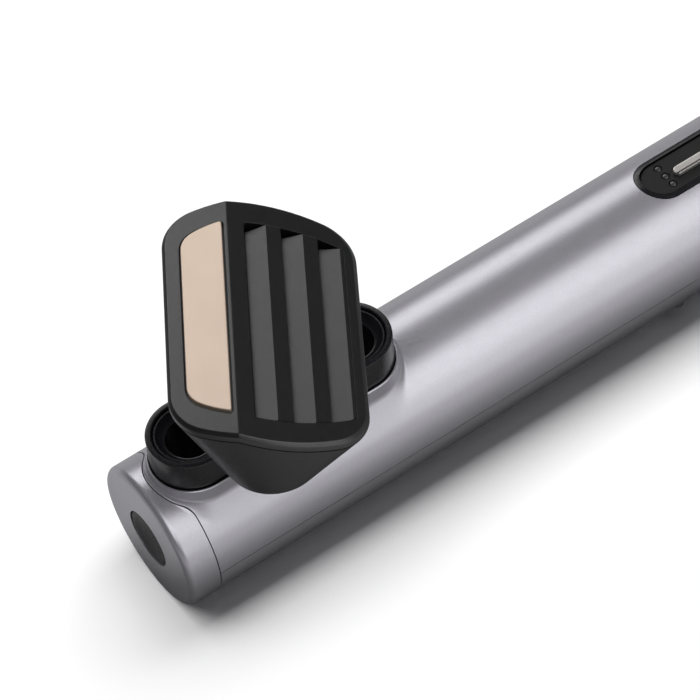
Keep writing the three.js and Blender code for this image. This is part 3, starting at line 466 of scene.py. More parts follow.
def coated_plate(name, base):
    """A fired coat that was brushed along the plate first."""
    finish = Finish(name, metallic=0.4)
    finish.place = finish.mapped(rotation=(0, 0, -HEAD_TURN))
    lines = finish.noise(1500, stretch=(0.04, 1, 1))
    finish.colour(finish.noise(60), base, 0.03)
    finish.roughness(lines, 0.4, 0.46)
    return finish.bumped(lines, 0.001 * MM, 0.06)


def bare_metal(name, base, rough=0.32):
    """A turned or drawn metal with fine marks."""
    finish = Finish(name, metallic=1.0)
    marks = finish.noise(1800, 3, stretch=(0.2, 1, 1))
    finish.colour(finish.noise(400, 3), base, 0.1)
    finish.roughness(marks, rough - 0.06, rough + 0.08)
    return finish.bumped(marks, 0.004 * MM, 0.5)


def woven_filter(name, base):
    """A fine wire mesh, drawn as crossed waves on the piece."""
    finish = Finish(name, metallic=0.9)
    waves, diagonal = [], 0.785
    for turn in (diagonal, -diagonal):
        place = finish.mapped(rotation=(turn, 0, turn))
        waves.append(finish.add("TexWave", {"Vector": place, "Scale": 420}).outputs["Fac"])
    both = finish.add("Math", {0: waves[0], 1: waves[1]}, operation="MAXIMUM").outputs["Value"]
    finish.colour(both, base, 0.75)
    finish.roughness(finish.noise(900), 0.35, 0.5)
    return finish.bumped(both, 0.1 * MM, 0.8)


FINISHES = {}


def make_finishes():
    """One material for each slot, and two for pieces whose look isn't their slot's."""
    c = colours()
    FINISHES.update(
        satin_silver=metallic_paint("satin_silver_paint", c.silver, 0.34),
        charcoal=moulded("charcoal_moulding", c.charcoal, 0.39, specular=1.0),
        black_trim=moulded("half_gloss_black", c.black, 0.24, 5200, 0.004 * MM, 0.6),
        floor=moulded("recess_floor", (0.005, 0.005, 0.005), 0.5),
        champagne_plate=coated_plate("champagne_coat", c.champagne),
        slider_bar=metallic_paint("slider_paint", c.slider, 0.34),
        end_button=moulded("button_moulding", c.button, 0.34, 4200, 0.004 * MM, 0.15),
        lens=moulded("smoked_lens", (0.03, 0.03, 0.032), 0.1, 6000, 0.001 * MM, 0.8),
        steel=bare_metal("plain_steel", (0.56, 0.56, 0.57)),
        bronze=bare_metal("sintered_bronze", (0.45, 0.3, 0.14), 0.45),
        mica=moulded("mica_sheet", (0.42, 0.36, 0.26), 0.5, 900, 0.02 * MM, change=0.25),
        nylon=moulded("natural_nylon", (0.62, 0.6, 0.53), 0.45),
        rubber=moulded("soft_rubber", (0.02, 0.02, 0.02), 0.65, 1800, 0.02 * MM),
        circuit_board=moulded("circuit_board", (0.02, 0.11, 0.04), 0.35, 700, 0.03 * MM, change=0.35),
        mesh=woven_filter("filter_mesh", (0.3, 0.3, 0.31)),
    )


# The wand


def wand_height(y):
    """Height of the round wand's top above the floor at a distance from its middle line."""
    return AXIS_Z + math.sqrt(max(0.0, BODY_R ** 2 - y * y))


def collar_rays(count_end, count_side):
    """Rays square to the oblong: start, direction, and where each ends on the unrolled wand.
    An end is a place along the wand and an angle from its top."""
    front, back = CAP_FACE + sizes().cap_edge, BLEND_END
    half = COLLAR_HALF
    rays = []
    for i in range(count_end):
        share = i / count_end
        facing = math.pi * (1 - share / 2)
        rays.append((-half, math.cos(facing), math.sin(facing), front, math.pi * share))
    for i in range(count_side):
        share = i / count_side
        rays.append((half * (2 * share - 1), 0.0, 1.0, front + (back - front) * share, math.pi))
    for i in range(count_end):
        share = i / count_end
        facing = math.pi / 2 * (1 - share)
        rays.append((half, math.cos(facing), math.sin(facing), back, math.pi * (1 - share)))
    rays.append((half, 1.0, 0.0, back, 0.0))
    mirrored = [(x, nx, -ny, end_x, -angle) for x, nx, ny, end_x, angle in reversed(rays[1:-1])]
    return rays + mirrored


def boss_ring(rays, offset, z):
    return [(x + nx * offset, ny * offset, z) for x, nx, ny, _, _ in rays]


def blend_ring(rays, share):
    """The flank of the boss: a steep wall, then a fillet that ends level with the wand."""
    s = sizes()
    start = COLLAR_R + GAP + s.boss_wall
    wall_share, wall_out = 0.25, 0.3 * MM
    top = BOSS_TOP_Z - 0.2 * MM
    down = min(1.0, share / wall_share)
    along = max(0.0, (share - wall_share) / (1 - wall_share))
    ring = []
    for x, nx, ny, _, _ in rays:
        reach = s.boss_reach_end + (s.boss_reach - s.boss_reach_end) * ny ** 4
        out = start + wall_out * down + (reach - wall_out) * along
        px, py = x + nx * out, ny * out
        wall_foot = wand_height(ny * (start + wall_out))
        foot = (top - wall_foot) * s.boss_foot
        if share < wall_share:
            z = top + (wall_foot + foot - top) * down
        else:
            z = wand_height(py) + foot * (1 - along) ** 2
        ring.append((px, py, z))
    return ring


def spread_ring(rays, share):
    """A ring on the round wand, between the end of the fillet and the ends of the rays."""
    ring = []
    for (px, py, _), (_, _, _, end_x, end_angle) in zip(blend_ring(rays, 1), rays):
        angle = math.asin(py / BODY_R)
        at = angle + (end_angle - angle) * share
        ring.append((
            px + (end_x - px) * share,
            BODY_R * math.sin(at),
            AXIS_Z + BODY_R * math.cos(at),
        ))
    return ring


def turned_ring(angles, x, radius):
    return [(x, radius * math.sin(a), AXIS_Z + radius * math.cos(a)) for a in angles]


def wand_skin():
    """The wand as one solid, with the boss blended into it, before its seams are cut."""
    s = sizes()
    rays = collar_rays(FINE // 2, 60)
    hole = COLLAR_R + GAP
    rim = hole + s.boss_wall
    top = BOSS_TOP_Z
    rings = [
        boss_ring(rays, hole, top - 1.2 * MM),
        boss_ring(rays, hole, top - 0.15 * MM),
        boss_ring(rays, hole + 0.15 * MM, top),
        boss_ring(rays, rim - 0.2 * MM, top),
    ]
    rings += [blend_ring(rays, i / 16) for i in range(17)]
    rings += [spread_ring(rays, (i / 30) ** 1.3) for i in range(1, 31)]
    middle = skin_of("middle", rings, [])
    front = [math.pi * i / (FINE // 2) for i in range(-FINE // 2, FINE // 2)]
    edge = s.cap_edge
    steps = 10
    nose = []
    for i in range(steps + 1):
        a = math.pi / 2 * (1 - i / steps)
        x = CAP_FACE + edge * (1 - math.cos(a))
        nose.append(turned_ring(front, x, BODY_R - edge * (1 - math.sin(a))))
    nose.append(turned_ring(front, CAP_FACE, BODY_R / 2))
    tail_x = (BLEND_END, 85 * MM, 110 * MM, 160 * MM, SHELL_END_X)
    tail = [turned_ring(front, x, BODY_R) for x in tail_x]
    others = [skin_of("nose", nose, []), skin_of("tail", tail, [])]
    active(middle)
    for piece in others:
        piece.select_set(True)
    bpy.ops.object.join()
    tidy(middle)
    with edit_mode(middle, "DESELECT"):
        bpy.ops.mesh.select_non_manifold()
        bpy.ops.mesh.fill_holes(sides=0)
    return tidy(middle)


def hollow(piece, front_x):
    """Bores the wand out and opens the boss for the collar."""
    bore = lathed([(front_x, BODY_R - SHELL_WALL), (FAR, BODY_R - SHELL_WALL)], FINE)
    opening = oblong([(AXIS_Z, COLLAR_R + 0.2 * MM), (FAR, COLLAR_R + 0.2 * MM)], COLLAR_HALF)
    return combine(piece, bore, opening)


def seam_tool(offset):
    """Plan of the shells' front end: a straight seam that swells round the collar. A curved bend
    leads from one into the other."""
    clear, ahead, bend_length = 2.1 * MM, 1.8 * MM, 1.8 * MM
    seam_x = SEAM_X - offset
    radius = COLLAR_R + clear + offset
    meet = math.acos((-COLLAR_HALF - seam_x + ahead) / radius)
    touch_x = -COLLAR_HALF - radius * math.cos(meet)
    touch_y = radius * math.sin(meet)
    bend = touch_y + (seam_x - touch_x) / math.tan(meet)
    knee = bend + bend_length
    side = [(FAR, FAR), (seam_x, FAR), (seam_x, knee)]
    steps = 12
    for i in range(1, steps):
        t = i / steps
        x = (1 - t) ** 2 * seam_x + 2 * t * (1 - t) * seam_x + t * t * touch_x
        y = (1 - t) ** 2 * knee + 2 * t * (1 - t) * bend + t * t * touch_y
        side.append((x, y))
    steps = 24
    for i in range(steps + 1):
        a = math.pi - meet + meet * i / steps
        side.append((-COLLAR_HALF + radius * math.cos(a), radius * math.sin(a)))
    outline = side + [(x, -y) for x, y in reversed(side[:-1])]
    return skin_of("seam", [[(x, y, z) for x, y in outline] for z in (-FAR, FAR)])


class STYLER_OT_wand(Operator):
    """Models the wand's two shells and its nose cap from one skin, so that they meet exactly"""

    bl_idname = "styler.wand"
    bl_label = "Wand shells and nose cap"

    def execute(self, context):
        skin = hollow(wand_skin(), NOSE_X + 2.6 * MM)
        cap = copied(skin)
        lower = copied(skin)
        combine(skin, in_recess([(AXIS_Z + 12 * MM, RECESS_R), (FAR, RECESS_R)]))
        half_of(skin, (0, 0, AXIS_Z + GAP / 2), (0, 0, -1))
        combine(skin, seam_tool(0), how="INTERSECT")
        dress(skin, "wand_upper", "wand", ["upper_shell"], "satin_silver", flat=False)

        half_of(lower, (0, 0, AXIS_Z - GAP / 2), (0, 0, 1))
        half_of(lower, (SEAM_X, 0, 0), (-1, 0, 0))
        half_of(lower, (0, 0, 0), (0, 0, -1))
        for node in ("shell_screw_1", "shell_screw_2", "shell_screw_3", "shell_screw_4"):
            low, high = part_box(node)
            middle = (low + high) / 2
            combine(lower, rod(2.3 * MM, -0.01, low.z + 1.6 * MM, middle.x, middle.y))
        dress(lower, "wand_lower", "wand", ["lower_shell"], "satin_silver", flat=False)

        hole, hole_end = BUTTON_R + 0.35 * MM, -35 * MM
        combine(cap, seam_tool(GAP), lathed([(-FAR, hole), (hole_end, hole)], 96))
        combine(cap, block(SEAM_X - GAP, FAR, -FAR, FAR, -FAR, FAR))
        half_of(cap, (0, 0, 0), (0, 0, -1))
        dress(cap, "wand_nose", "wand", ["nose_cap"], "satin_silver", flat=False)
        return {"FINISHED"}


class STYLER_OT_end_button(Operator):
    """Models the dished button in the nose cap's end face"""

    bl_idname = "styler.end_button"
    bl_label = "End button"

    def execute(self, context):
        face = CAP_FACE + 0.15 * MM
        radius = BUTTON_R
        dish = sizes().button_dish
        stations = []
        for i in range(1, 11):
            t = i / 10
            stations.append((face + dish * (1 - t ** 2), (radius - 1.1 * MM) * t))
        stations += [
            (face, radius - 0.9 * MM), (face, radius - 0.35 * MM), (face + 0.1 * MM, radius - 0.1 * MM),
            (face + 0.35 * MM, radius), (face + 2.1 * MM, radius), (face + 2.1 * MM, radius + 0.8 * MM),
            (face + 3.5 * MM, radius + 0.8 * MM), (face + 3.5 * MM, 3 * MM),
            (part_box("end_button")[1].x, 3 * MM),
        ]
        dress(lathed(stations, 96), "end_button_disc", "end_button", ["end_button"], "end_button")
        return {"FINISHED"}


class STYLER_OT_collar(Operator):
    """Models the oblong outlet collar and the dished liner inside it"""

    bl_idname = "styler.collar"
    bl_label = "Outlet collar"

    def execute(self, context):
        low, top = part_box("outlet_collar")[0].z, COLLAR_TOP_Z
        inner = COLLAR_R - 1.7 * MM
        edge = 0.45 * MM
        collar = oblong([
            (low, COLLAR_R + 1.7 * MM), (low + 2 * MM, COLLAR_R + 1.7 * MM), (low + 2 * MM, COLLAR_R),
            (top - edge, COLLAR_R), (top - 0.3 * edge, COLLAR_R - 0.3 * edge), (top, COLLAR_R - edge),
            (top, inner + 0.3 * MM), (top - 0.25 * MM, inner), (low, inner),
        ], COLLAR_HALF, closed=True)
        dress(collar, "collar_wall", "wand", ["outlet_collar"], "black_trim")

        low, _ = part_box("collar_liner")
        top = COLLAR_TOP_Z - 0.6 * MM
        outer = inner - GAP
        throat = 6.5 * MM
        lip = outer - 0.6 * MM
        stations = [(low.z, outer), (top - 0.2 * MM, outer), (top, outer - 0.2 * MM), (top, lip)]
        steps = 10
        for i in range(1, steps + 1):
            t = 1 - i / steps
            stations.append((top - 2.2 * MM + 2.2 * MM * t ** 1.6, throat + (lip - throat) * t))
        stations += [(top - 2.9 * MM, throat - 0.15 * MM), (low.z, throat - 0.15 * MM)]
        liner = oblong(stations, COLLAR_HALF, closed=True)
        dress(liner, "collar_funnel", "wand", ["collar_liner"], "black_trim")
        return {"FINISHED"}


class STYLER_OT_controls(Operator):
    """Models the control recess: rim, floor, lenses, slider and cool button"""

    bl_idname = "styler.controls"
    bl_label = "Controls"

    def execute(self, context):
        floor_top = AXIS_Z + 19.4 * MM
        low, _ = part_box("control_bezel")
        outer = RECESS_R - 0.2 * MM
        inner = outer - 1.5 * MM
        rim_top = 60 * MM
        rim = in_recess([
            (low.z, outer), (rim_top, outer), (rim_top, inner + 0.4 * MM), (low.z, inner),
        ], True)
        top_r = BODY_R - 0.02 * MM
        round_top = lathed([(100 * MM, top_r), (220 * MM, top_r)], 256)
        combine(rim, round_top, how="INTERSECT")
        soften(rim, 0.3 * MM, 30)
        dress(rim, "control_rim", "wand", ["control_bezel"], "black_trim")

        floor = in_recess([
            (low.z, inner - GAP), (floor_top - 0.1 * MM, inner - GAP),
            (floor_top, inner - GAP - 0.1 * MM),
        ])
        cool_low, cool_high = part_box("cool_button")
        cool = (cool_low + cool_high) / 2
        lenses = [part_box(f"indicator_lens_{n}") for n in (1, 2, 3)]
        places = [(a + b) / 2 + Vector((0.4 * MM, RECESS_Y / 2, 0)) for a, b in lenses]
        combine(floor, rod(4.7 * MM, 0, ABOVE, cool.x, cool.y, 64))
        for place in places:
            combine(floor, rod(1.2 * MM, 0, ABOVE, place.x, place.y, 40))
        slot_low, slot_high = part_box("slider_carriage")
        slot_x0, slot_x1, slot_y = slot_low.x + 1.6 * MM, slot_high.x + 4.4 * MM, 1.6 * MM
        combine(floor, block(slot_x0, slot_x1, -slot_y, slot_y, 0, ABOVE))
        soften(floor, 0.12 * MM, 40)
        dress(floor, "control_floor_plate", "wand", ["control_floor"], "charcoal", "floor")

        for n, place in enumerate(places, 1):
            top = floor_top + 0.15 * MM
            lens = drawn([
                (lenses[0][0].z, 0.9 * MM), (top - 0.25 * MM, 0.9 * MM), (top - 0.1 * MM, 0.75 * MM),
                (top, 0.4 * MM), (top + 0.03 * MM, 0.1 * MM),
            ], 32)
            moved(lens, place.x, place.y)
            dress(lens, f"lens_{n}", "wand", [f"indicator_lens_{n}"], "lens")

        low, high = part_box("power_slider")
        width = 1.5 * MM
        reach = 1.6 * MM
        side = -0.35 * MM
        length = (high.x - low.x + reach) / 2 - width
        bar = oblong([
            (low.z, width), (high.z - 0.35 * MM, width), (high.z - 0.1 * MM, width - 0.12 * MM),
            (high.z, width - 0.4 * MM),
        ], length, 64)
        moved(bar, (low.x - reach + high.x) / 2, side)
        combine(bar, block(100 * MM, high.x - 1.5 * MM, -1.42 * MM, -1.02 * MM, 0, ABOVE))
        soften(bar, 0.1 * MM, 40)
        dress(bar, "slider_bar", "power_slider", ["power_slider"], "slider_bar")

        steps = 8
        top, bottom = cool_high.z, cool_low.z
        flange_r, cap_r, dish_r, dish = 5.6 * MM, 4.3 * MM, 3.6 * MM, 0.35 * MM
        stations = [(bottom, flange_r), (bottom + 0.5 * MM, flange_r), (bottom + 0.5 * MM, cap_r)]
        stations += [(top - 0.3 * MM, cap_r), (top, cap_r - 0.3 * MM), (top, dish_r)]
        for i in range(steps - 1, 0, -1):
            stations.append((top - dish * (1 - (i / steps) ** 2), dish_r * i / steps))
        cool_button = moved(drawn(stations, 64), cool.x, cool.y)
        dress(cool_button, "cool_button_cap", "cool_button", ["cool_button"], "charcoal")
        return {"FINISHED"}


class STYLER_OT_rear_end(Operator):
    """Models the slotted intake guard, the end cap and the cord's gland"""

    bl_idname = "styler.rear_end"
    bl_label = "Rear end"

    def execute(self, context):
        low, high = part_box("intake_guard")
        spigot = BODY_R - 2.5 * MM
        start = SHELL_END_X + GAP
        end = high.x
        edge = 0.3 * MM
        guard = drawn([
            (start, spigot), (start, BODY_R - edge), (start + edge, BODY_R), (end - edge, BODY_R),
            (end, BODY_R - edge), (end, spigot - 1.4 * MM), (low.x, spigot - 1.4 * MM), (low.x, spigot),
        ], FINE, "X", True)
        slots = 8
        for i in range(slots):
            slot = oblong([(-FAR, 1.2 * MM), (FAR, 1.2 * MM)], 9.3 * MM, 32)
            slot.rotation_euler = (math.pi * (i + 0.5) / slots, 0, 0)
            slot.location.x = start + 15.5 * MM
            apply_place(slot)
            combine(guard, slot)
        moved(guard, z=AXIS_Z)
        soften(guard, 0.25 * MM, 35)
        half_of(guard, (0, 0, 0), (0, 0, -1))
        dress(guard, "intake_guard_ring", "wand", ["intake_guard"], "charcoal")

        low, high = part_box("rear_cap")
        start = end + GAP
        round_r = 3 * MM
        steps = 8
        stations = [(start, BODY_R - round_r), (start, BODY_R - edge), (start + edge, BODY_R)]
        for i in range(steps + 1):
            a = math.pi / 2 * i / steps
            x = high.x - round_r + round_r * math.sin(a)
            stations.append((x, BODY_R - round_r * (1 - math.cos(a))))
        wall = high.x - 2.6 * MM
        hole, plug_inside, plug = 6 * MM, 15.8 * MM, 16.8 * MM
        stations += [(high.x, hole + 0.3 * MM), (high.x - 0.3 * MM, hole), (wall, hole)]
        stations += [(wall, plug_inside), (low.x, plug_inside), (low.x, plug), (start, plug)]
        cap = lathed(stations, FINE, closed=True)
        half_of(cap, (0, 0, 0), (0, 0, -1))
        dress(cap, "rear_cap_end", "wand", ["rear_cap"], "charcoal")

        low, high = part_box("cord_gland")
        inside = wall - RUN
        bore, flange, neck = 3.3 * MM, 7.8 * MM, 5.6 * MM
        stations = [(low.x, bore), (low.x, flange), (inside, flange), (inside, neck)]
        for i in range(5):
            ridge = high.x - 4 * MM + 0.8 * MM * i
            stations += [(ridge, neck), (ridge + 0.3 * MM, neck - 0.35 * MM)]
        stations += [(high.x - 0.3 * MM, 5 * MM), (high.x, 4.6 * MM)]
        stations += [(high.x, bore + 0.3 * MM), (high.x - 0.3 * MM, bore)]
        gland = lathed(stations, 64, closed=True)
        dress(gland, "gland_sleeve", "cord_gland", ["cord_gland"], "rubber")
        return {"FINISHED"}


# The head, modelled with its foot at the origin and its ridge along X


def round_ended(half_length, end_r, end_y, low, high, low_r, high_r):
    """A long curve at each end and a rounded corner above and below it."""
    end = (half_length - end_r, end_y, end_r)

    def corner(y, r):
        return (end[0] + math.sqrt((end_r - r) ** 2 - (y - end_y) ** 2), y, r)

    return {"end": end, "low": corner(low + low_r, low_r), "high": corner(high - high_r, high_r)}


def grown(outline, by):
    return {key: (x, y, r + by) for key, (x, y, r) in outline.items()}


def arc_facing(outline, angle):
    end, low, high = outline["end"], outline["low"], outline["high"]
    if end[0] < high[0] and angle > math.atan2(high[1] - end[1], high[0] - end[0]):
        return high
    if end[0] < low[0] and angle < math.atan2(low[1] - end[1], low[0] - end[0]):
        return low
    return end


HEAD = round_ended(38.95 * MM, 46 * MM, -0.9 * MM, -25.4 * MM, 23.9 * MM, 12.6 * MM, 12.5 * MM)
PLATE = round_ended(31.2 * MM, 26 * MM, 2.3 * MM, 8.1 * MM, 18.95 * MM, 0.6 * MM, 6.2 * MM)
POCKET = round_ended(31.4 * MM, 28 * MM, 2.5 * MM, 7.6 * MM, 19.35 * MM, 0.9 * MM, 6.6 * MM)
WINDOW = round_ended(31.6 * MM, 50 * MM, -2 * MM, -22.3 * MM, WINDOW_NEAR, 0.6 * MM, 0.6 * MM)
FOOT = dict.fromkeys(("end", "low", "high"), (22.6 * MM, 0.0, 13 * MM))
RIDGE_ANGLE = math.asin((RIDGE_Y - HEAD["end"][1]) / HEAD["end"][2])
ANGLES = sorted([math.pi / 2 * i / QUARTER for i in range(-QUARTER, QUARTER + 1)] + [RIDGE_ANGLE])
RIDGE_POINT = ANGLES.index(RIDGE_ANGLE)


def outline_points(outline):
    """Points round an outline, each found from the direction that it faces."""
    side = []
    for angle in ANGLES:
        x, y, r = arc_facing(outline, angle)
        side.append((x + r * math.cos(angle), y + r * math.sin(angle)))
    return side + [(-x, y) for x, y in reversed(side)]


def facet_z(y):
    return RIDGE_Z - max(0.0, RIDGE_Y - y) * AIR_SLOPE


def facet_ring(outline, depth):
    return [(x, y, facet_z(y) - depth) for x, y in outline_points(outline)]


def two_facets(name, rings):
    """A solid through rings whose ends fold along the ridge."""
    count = len(rings[0])
    left = count - 1 - RIDGE_POINT
    plate_side = range(RIDGE_POINT, left + 1)
    air_side = [*range(RIDGE_POINT + 1), *range(left, count)]
    return tidy(skin_of(name, rings, [plate_side, air_side]))


def upright(outline, z0, z1):
    points = outline_points(outline)
    return tidy(skin_of("tool", [[(x, y, z) for x, y in points] for z in (z0, z1)]))


def taper(inset, drop):
    """Straight sides from the foot to the head's outline, up to a depth under the facets."""
    foot = outline_points(grown(FOOT, -inset))
    rim = outline_points(grown(HEAD, -inset))
    top = []
    for (fx, fy), (rx, ry) in zip(foot, rim):
        height = facet_z(ry) - LIP
        share = (height + LIP - drop) / height
        top.append((fx + (rx - fx) * share, fy + (ry - fy) * share, height + LIP - drop))
    return two_facets("taper", [[(x, y, 0) for x, y in foot], top])


def on_head(piece):
    """Turns a piece of the head into its place on the collar."""
    piece.rotation_euler = (0, 0, HEAD_TURN)
    piece.location = (0, 0, FOOT_Z)
    return apply_place(piece)


class STYLER_OT_head_housing(Operator):
    """Models the head's tapered lower part with its foot"""

    bl_idname = "styler.head_housing"
    bl_label = "Head housing"

    def execute(self, context):
        housing = taper(0, LIP + GAP)
        inside = taper(2 * MM, LIP - 1.5 * MM)
        half_of(inside, (0, 0, 3 * MM), (0, 0, -1))
        under, over = -10 * MM, 10 * MM
        inlet = rod(COLLAR_R - 1 * MM, under, over, facets=96)
        bridge, wide = 5.2 * MM, 20 * MM
        combine(inlet, block(-bridge, bridge, -wide, wide, -wide, wide))
        combine(housing, inside, inlet, rod(2.5 * MM, under, over))
        for screw_x in (-33 * MM, 33 * MM):
            combine(housing, rod(2.2 * MM, under, 1.6 * MM, screw_x, 0))
        soften(housing, sizes().soft_edge, 35)
        dress(on_head(housing), "head_lower", "head", ["head_housing"], "charcoal")
        return {"FINISHED"}


class STYLER_OT_front_cover(Operator):
    """Models the frame round the smoothing plate and the louvres"""

    bl_idname = "styler.front_cover"
    bl_label = "Front cover"

    def execute(self, context):
        edge = COVER_EDGE
        cover = two_facets("cover", [
            facet_ring(HEAD, LIP), facet_ring(HEAD, edge), facet_ring(grown(HEAD, -edge), 0),
        ])
        pocket = upright(POCKET, RIDGE_Z - 2.6 * MM, OVER_HEAD)
        window = upright(WINDOW, 0, OVER_HEAD)
        combine(cover, pocket, window)
        soften(cover, sizes().soft_edge, 15)
        dress(on_head(cover), "head_frame", "head", ["front_cover"], "charcoal")
        return {"FINISHED"}


class STYLER_OT_smoothing_plate(Operator):
    """Models the coated plate that the hair is smoothed on"""

    bl_idname = "styler.smoothing_plate"
    bl_label = "Smoothing plate"

    def execute(self, context):
        top = PLATE_TOP_Z - FOOT_Z
        plate = upright(PLATE, top - 2.4 * MM, top)
        soften(plate, sizes().plate_edge, 40, 4)
        dress(on_head(plate), "plate_face", "head", ["smoothing_plate"], "champagne_plate")
        return {"FINISHED"}


class STYLER_OT_louvres(Operator):
    """Models the insert with its saw-tooth louvres and air slits"""

    bl_idname = "styler.louvres"
    bl_label = "Louvres"

    def execute(self, context):
        window = grown(WINDOW, -0.06 * MM)
        under = 1.3 * MM
        blade = 1.2 * MM
        notch = 1.6 * MM
        wide, slit_half = 50 * MM, 25 * MM
        end_x, end_y, end_r = window["end"]
        grille = two_facets("grille", [facet_ring(window, 6.2 * MM), facet_ring(window, 0)])
        for i in range(3):
            near = WINDOW_NEAR - 0.03 * MM - LOUVRE_PITCH * i
            far = near - LOUVRE_WIDTH
            tread = facet_z(far)
            section = [
                (near + under, tread - 0.1 * MM), (near + under, tread + 0.3 * MM),
                (near, facet_z(near) - blade), (near, facet_z(near) + 1 * MM),
                (far, tread + 1 * MM), (far, tread),
            ]
            groove = skin_of("groove", [[(x, y, z) for y, z in section] for x in (-wide, wide)])
            slit_y0, slit_y1 = near + 0.1 * MM, near + under - 0.02 * MM
            slit = block(-slit_half, slit_half, slit_y0, slit_y1, 0, tread + 0.2 * MM)
            near_x, far_x = (end_x + math.sqrt(end_r ** 2 - (y - end_y) ** 2) for y in (near, far))
            wedge = [
                (near_x - notch, near), (near_x + 5 * MM, near), (far_x + 5 * MM, far), (far_x, far),
            ]
            notch_tool = skin_of("notch", [[(x, y, z) for x, y in wedge] for z in (0, OVER_HEAD)])
            combine(grille, tidy(groove), slit, tidy(notch_tool))
        soften(grille, 0.18 * MM, 20)
        dress(on_head(grille), "louvre_insert", "head", ["louvre_grille"], "charcoal")
        return {"FINISHED"}


class STYLER_OT_inner_parts(Operator):
    """Finishes the solids that stay as they are"""

    bl_idname = "styler.inner_parts"
    bl_label = "Inner parts"

    def execute(self, context):
        special = {"intake_filter": "mesh", "air_scoop": "rubber", "plate_insulator": "rubber"}
        for entry in frame["record"]["subparts"]:
            solid = frame["nodes"][entry["node"]]
            finish = special.get(entry["node"], entry["material_slot"])
            solid.data.materials.clear()
            solid.data.materials.append(FINISHES[finish])
        return {"FINISHED"}


# The stage


def softbox(name, light, size, place, aim, glossy=True):
    """A rectangular lamp that looks at a point and is as bright as asked wherever it is seen."""
    bpy.ops.object.light_add(type="AREA", location=place)
    lamp = bpy.context.object
    lamp.name = name
    lamp.data.shape = "RECTANGLE"
    lamp.data.size, lamp.data.size_y = size
    lamp.data.energy = light * 4 * size[0] * size[1]
    lamp.rotation_euler = (Vector(aim) - Vector(place)).to_track_quat("-Z", "Y").to_euler()
    lamp.visible_glossy = glossy
    return lamp


def group_of(name, pieces):
    """A group of pieces for a lamp's links."""
    group = bpy.data.collections.new(name)
    for piece in pieces:
        group.objects.link(bpy.data.objects[piece])
    return group


def only_on(lamp, pieces):
    """Lets a lamp light only some of the pieces."""
    lamp.light_linking.receiver_collection = group_of(lamp.name + "_pieces", pieces)


def spare_floor(floor, *lamps):
    """Keeps the lamps that only shape the reflections from washing out the shadow."""
    spared = group_of("floor_only", [floor.name])
    spared.collection_objects[0].light_linking.link_state = "EXCLUDE"
    for lamp in lamps:
        lamp.light_linking.receiver_collection = spared


def graded(tree, place, stops):
    """A grey that changes along one direction, from stop to stop."""
    reach = 0.25
    fade = add_node(tree, "MapRange", {"Value": place, "From Min": -reach, "From Max": reach})
    ramp = add_node(tree, "ValToRGB", {"Fac": fade.outputs["Result"]})
    for _ in stops[2:]:
        ramp.color_ramp.elements.new(0.5)
    for stop, (where, grey) in zip(ramp.color_ramp.elements, stops):
        stop.position = (where / reach + 1) / 2
        stop.color = (grey, grey, grey, 1)
    return ramp.outputs["Color"]


def seen_white(tree, colour):
    """White to the camera, and another colour to the light that it throws back."""
    rays = add_node(tree, "LightPath", {})
    return add_node(tree, "Mix", {
        "Factor": rays.outputs["Is Camera Ray"], "A": colour, "B": (1, 1, 1, 1),
    }, data_type="RGBA").outputs["Result"]


def studio_floor():
    """A floor that is seen white. What it throws back is painted shade near the wand's front and
    painted light ahead of the nose.
    """
    bpy.ops.mesh.primitive_plane_add(size=6, location=(0.1, 0, 0))
    floor = bpy.context.object
    floor.name = "studio_floor"
    material = bpy.data.materials.new("white_floor_painted_shade_and_light")
    material.use_nodes = True
    tree = material.node_tree
    tree.nodes.clear()
    place = add_node(tree, "TexCoord", {}).outputs["Object"]
    split = add_node(tree, "SeparateXYZ", {"Vector": place})
    # Painted shade: the floor throws back a dark grey near the wand's front, paler further out in
    # front.
    beside = graded(tree, split.outputs["Y"], [
        (-0.18, 0.75), (-0.03, 0.12), (0, 0.14), (0.02, 0.38), (0.2, 0.38),
    ])
    # Painted light: a paler strip of floor just ahead of the nose, for the nose's end face to reflect.
    ahead = graded(tree, split.outputs["X"], [
        (-0.19, 0.12), (-0.172, 0.5), (-0.153, 0.5), (-0.143, 0.1),
    ])
    behind = graded(tree, split.outputs["Y"], [(-0.012, 0), (0.004, 1)])
    painted_light_strip = add_node(tree, "Math", {0: ahead, 1: behind}, operation="MULTIPLY").outputs["Value"]
    grey = add_node(tree, "Math", {0: beside, 1: painted_light_strip}, operation="MAXIMUM").outputs["Value"]
    diffuse = add_node(tree, "BsdfDiffuse", {"Color": seen_white(tree, grey)})
    add_node(tree, "OutputMaterial", {"Surface": diffuse.outputs["BSDF"]})
    floor.data.materials.append(material)
    return floor


def room(strength):
    """An even grey room that shows white behind the styler."""
    world = bpy.data.worlds.new("studio_room")
    bpy.context.scene.world = world
    world.use_nodes = True
    tree = world.node_tree
    grey = seen_white(tree, (strength, strength, strength * 1.03, 1))
    tree.links.new(grey, tree.nodes["Background"].inputs["Color"])


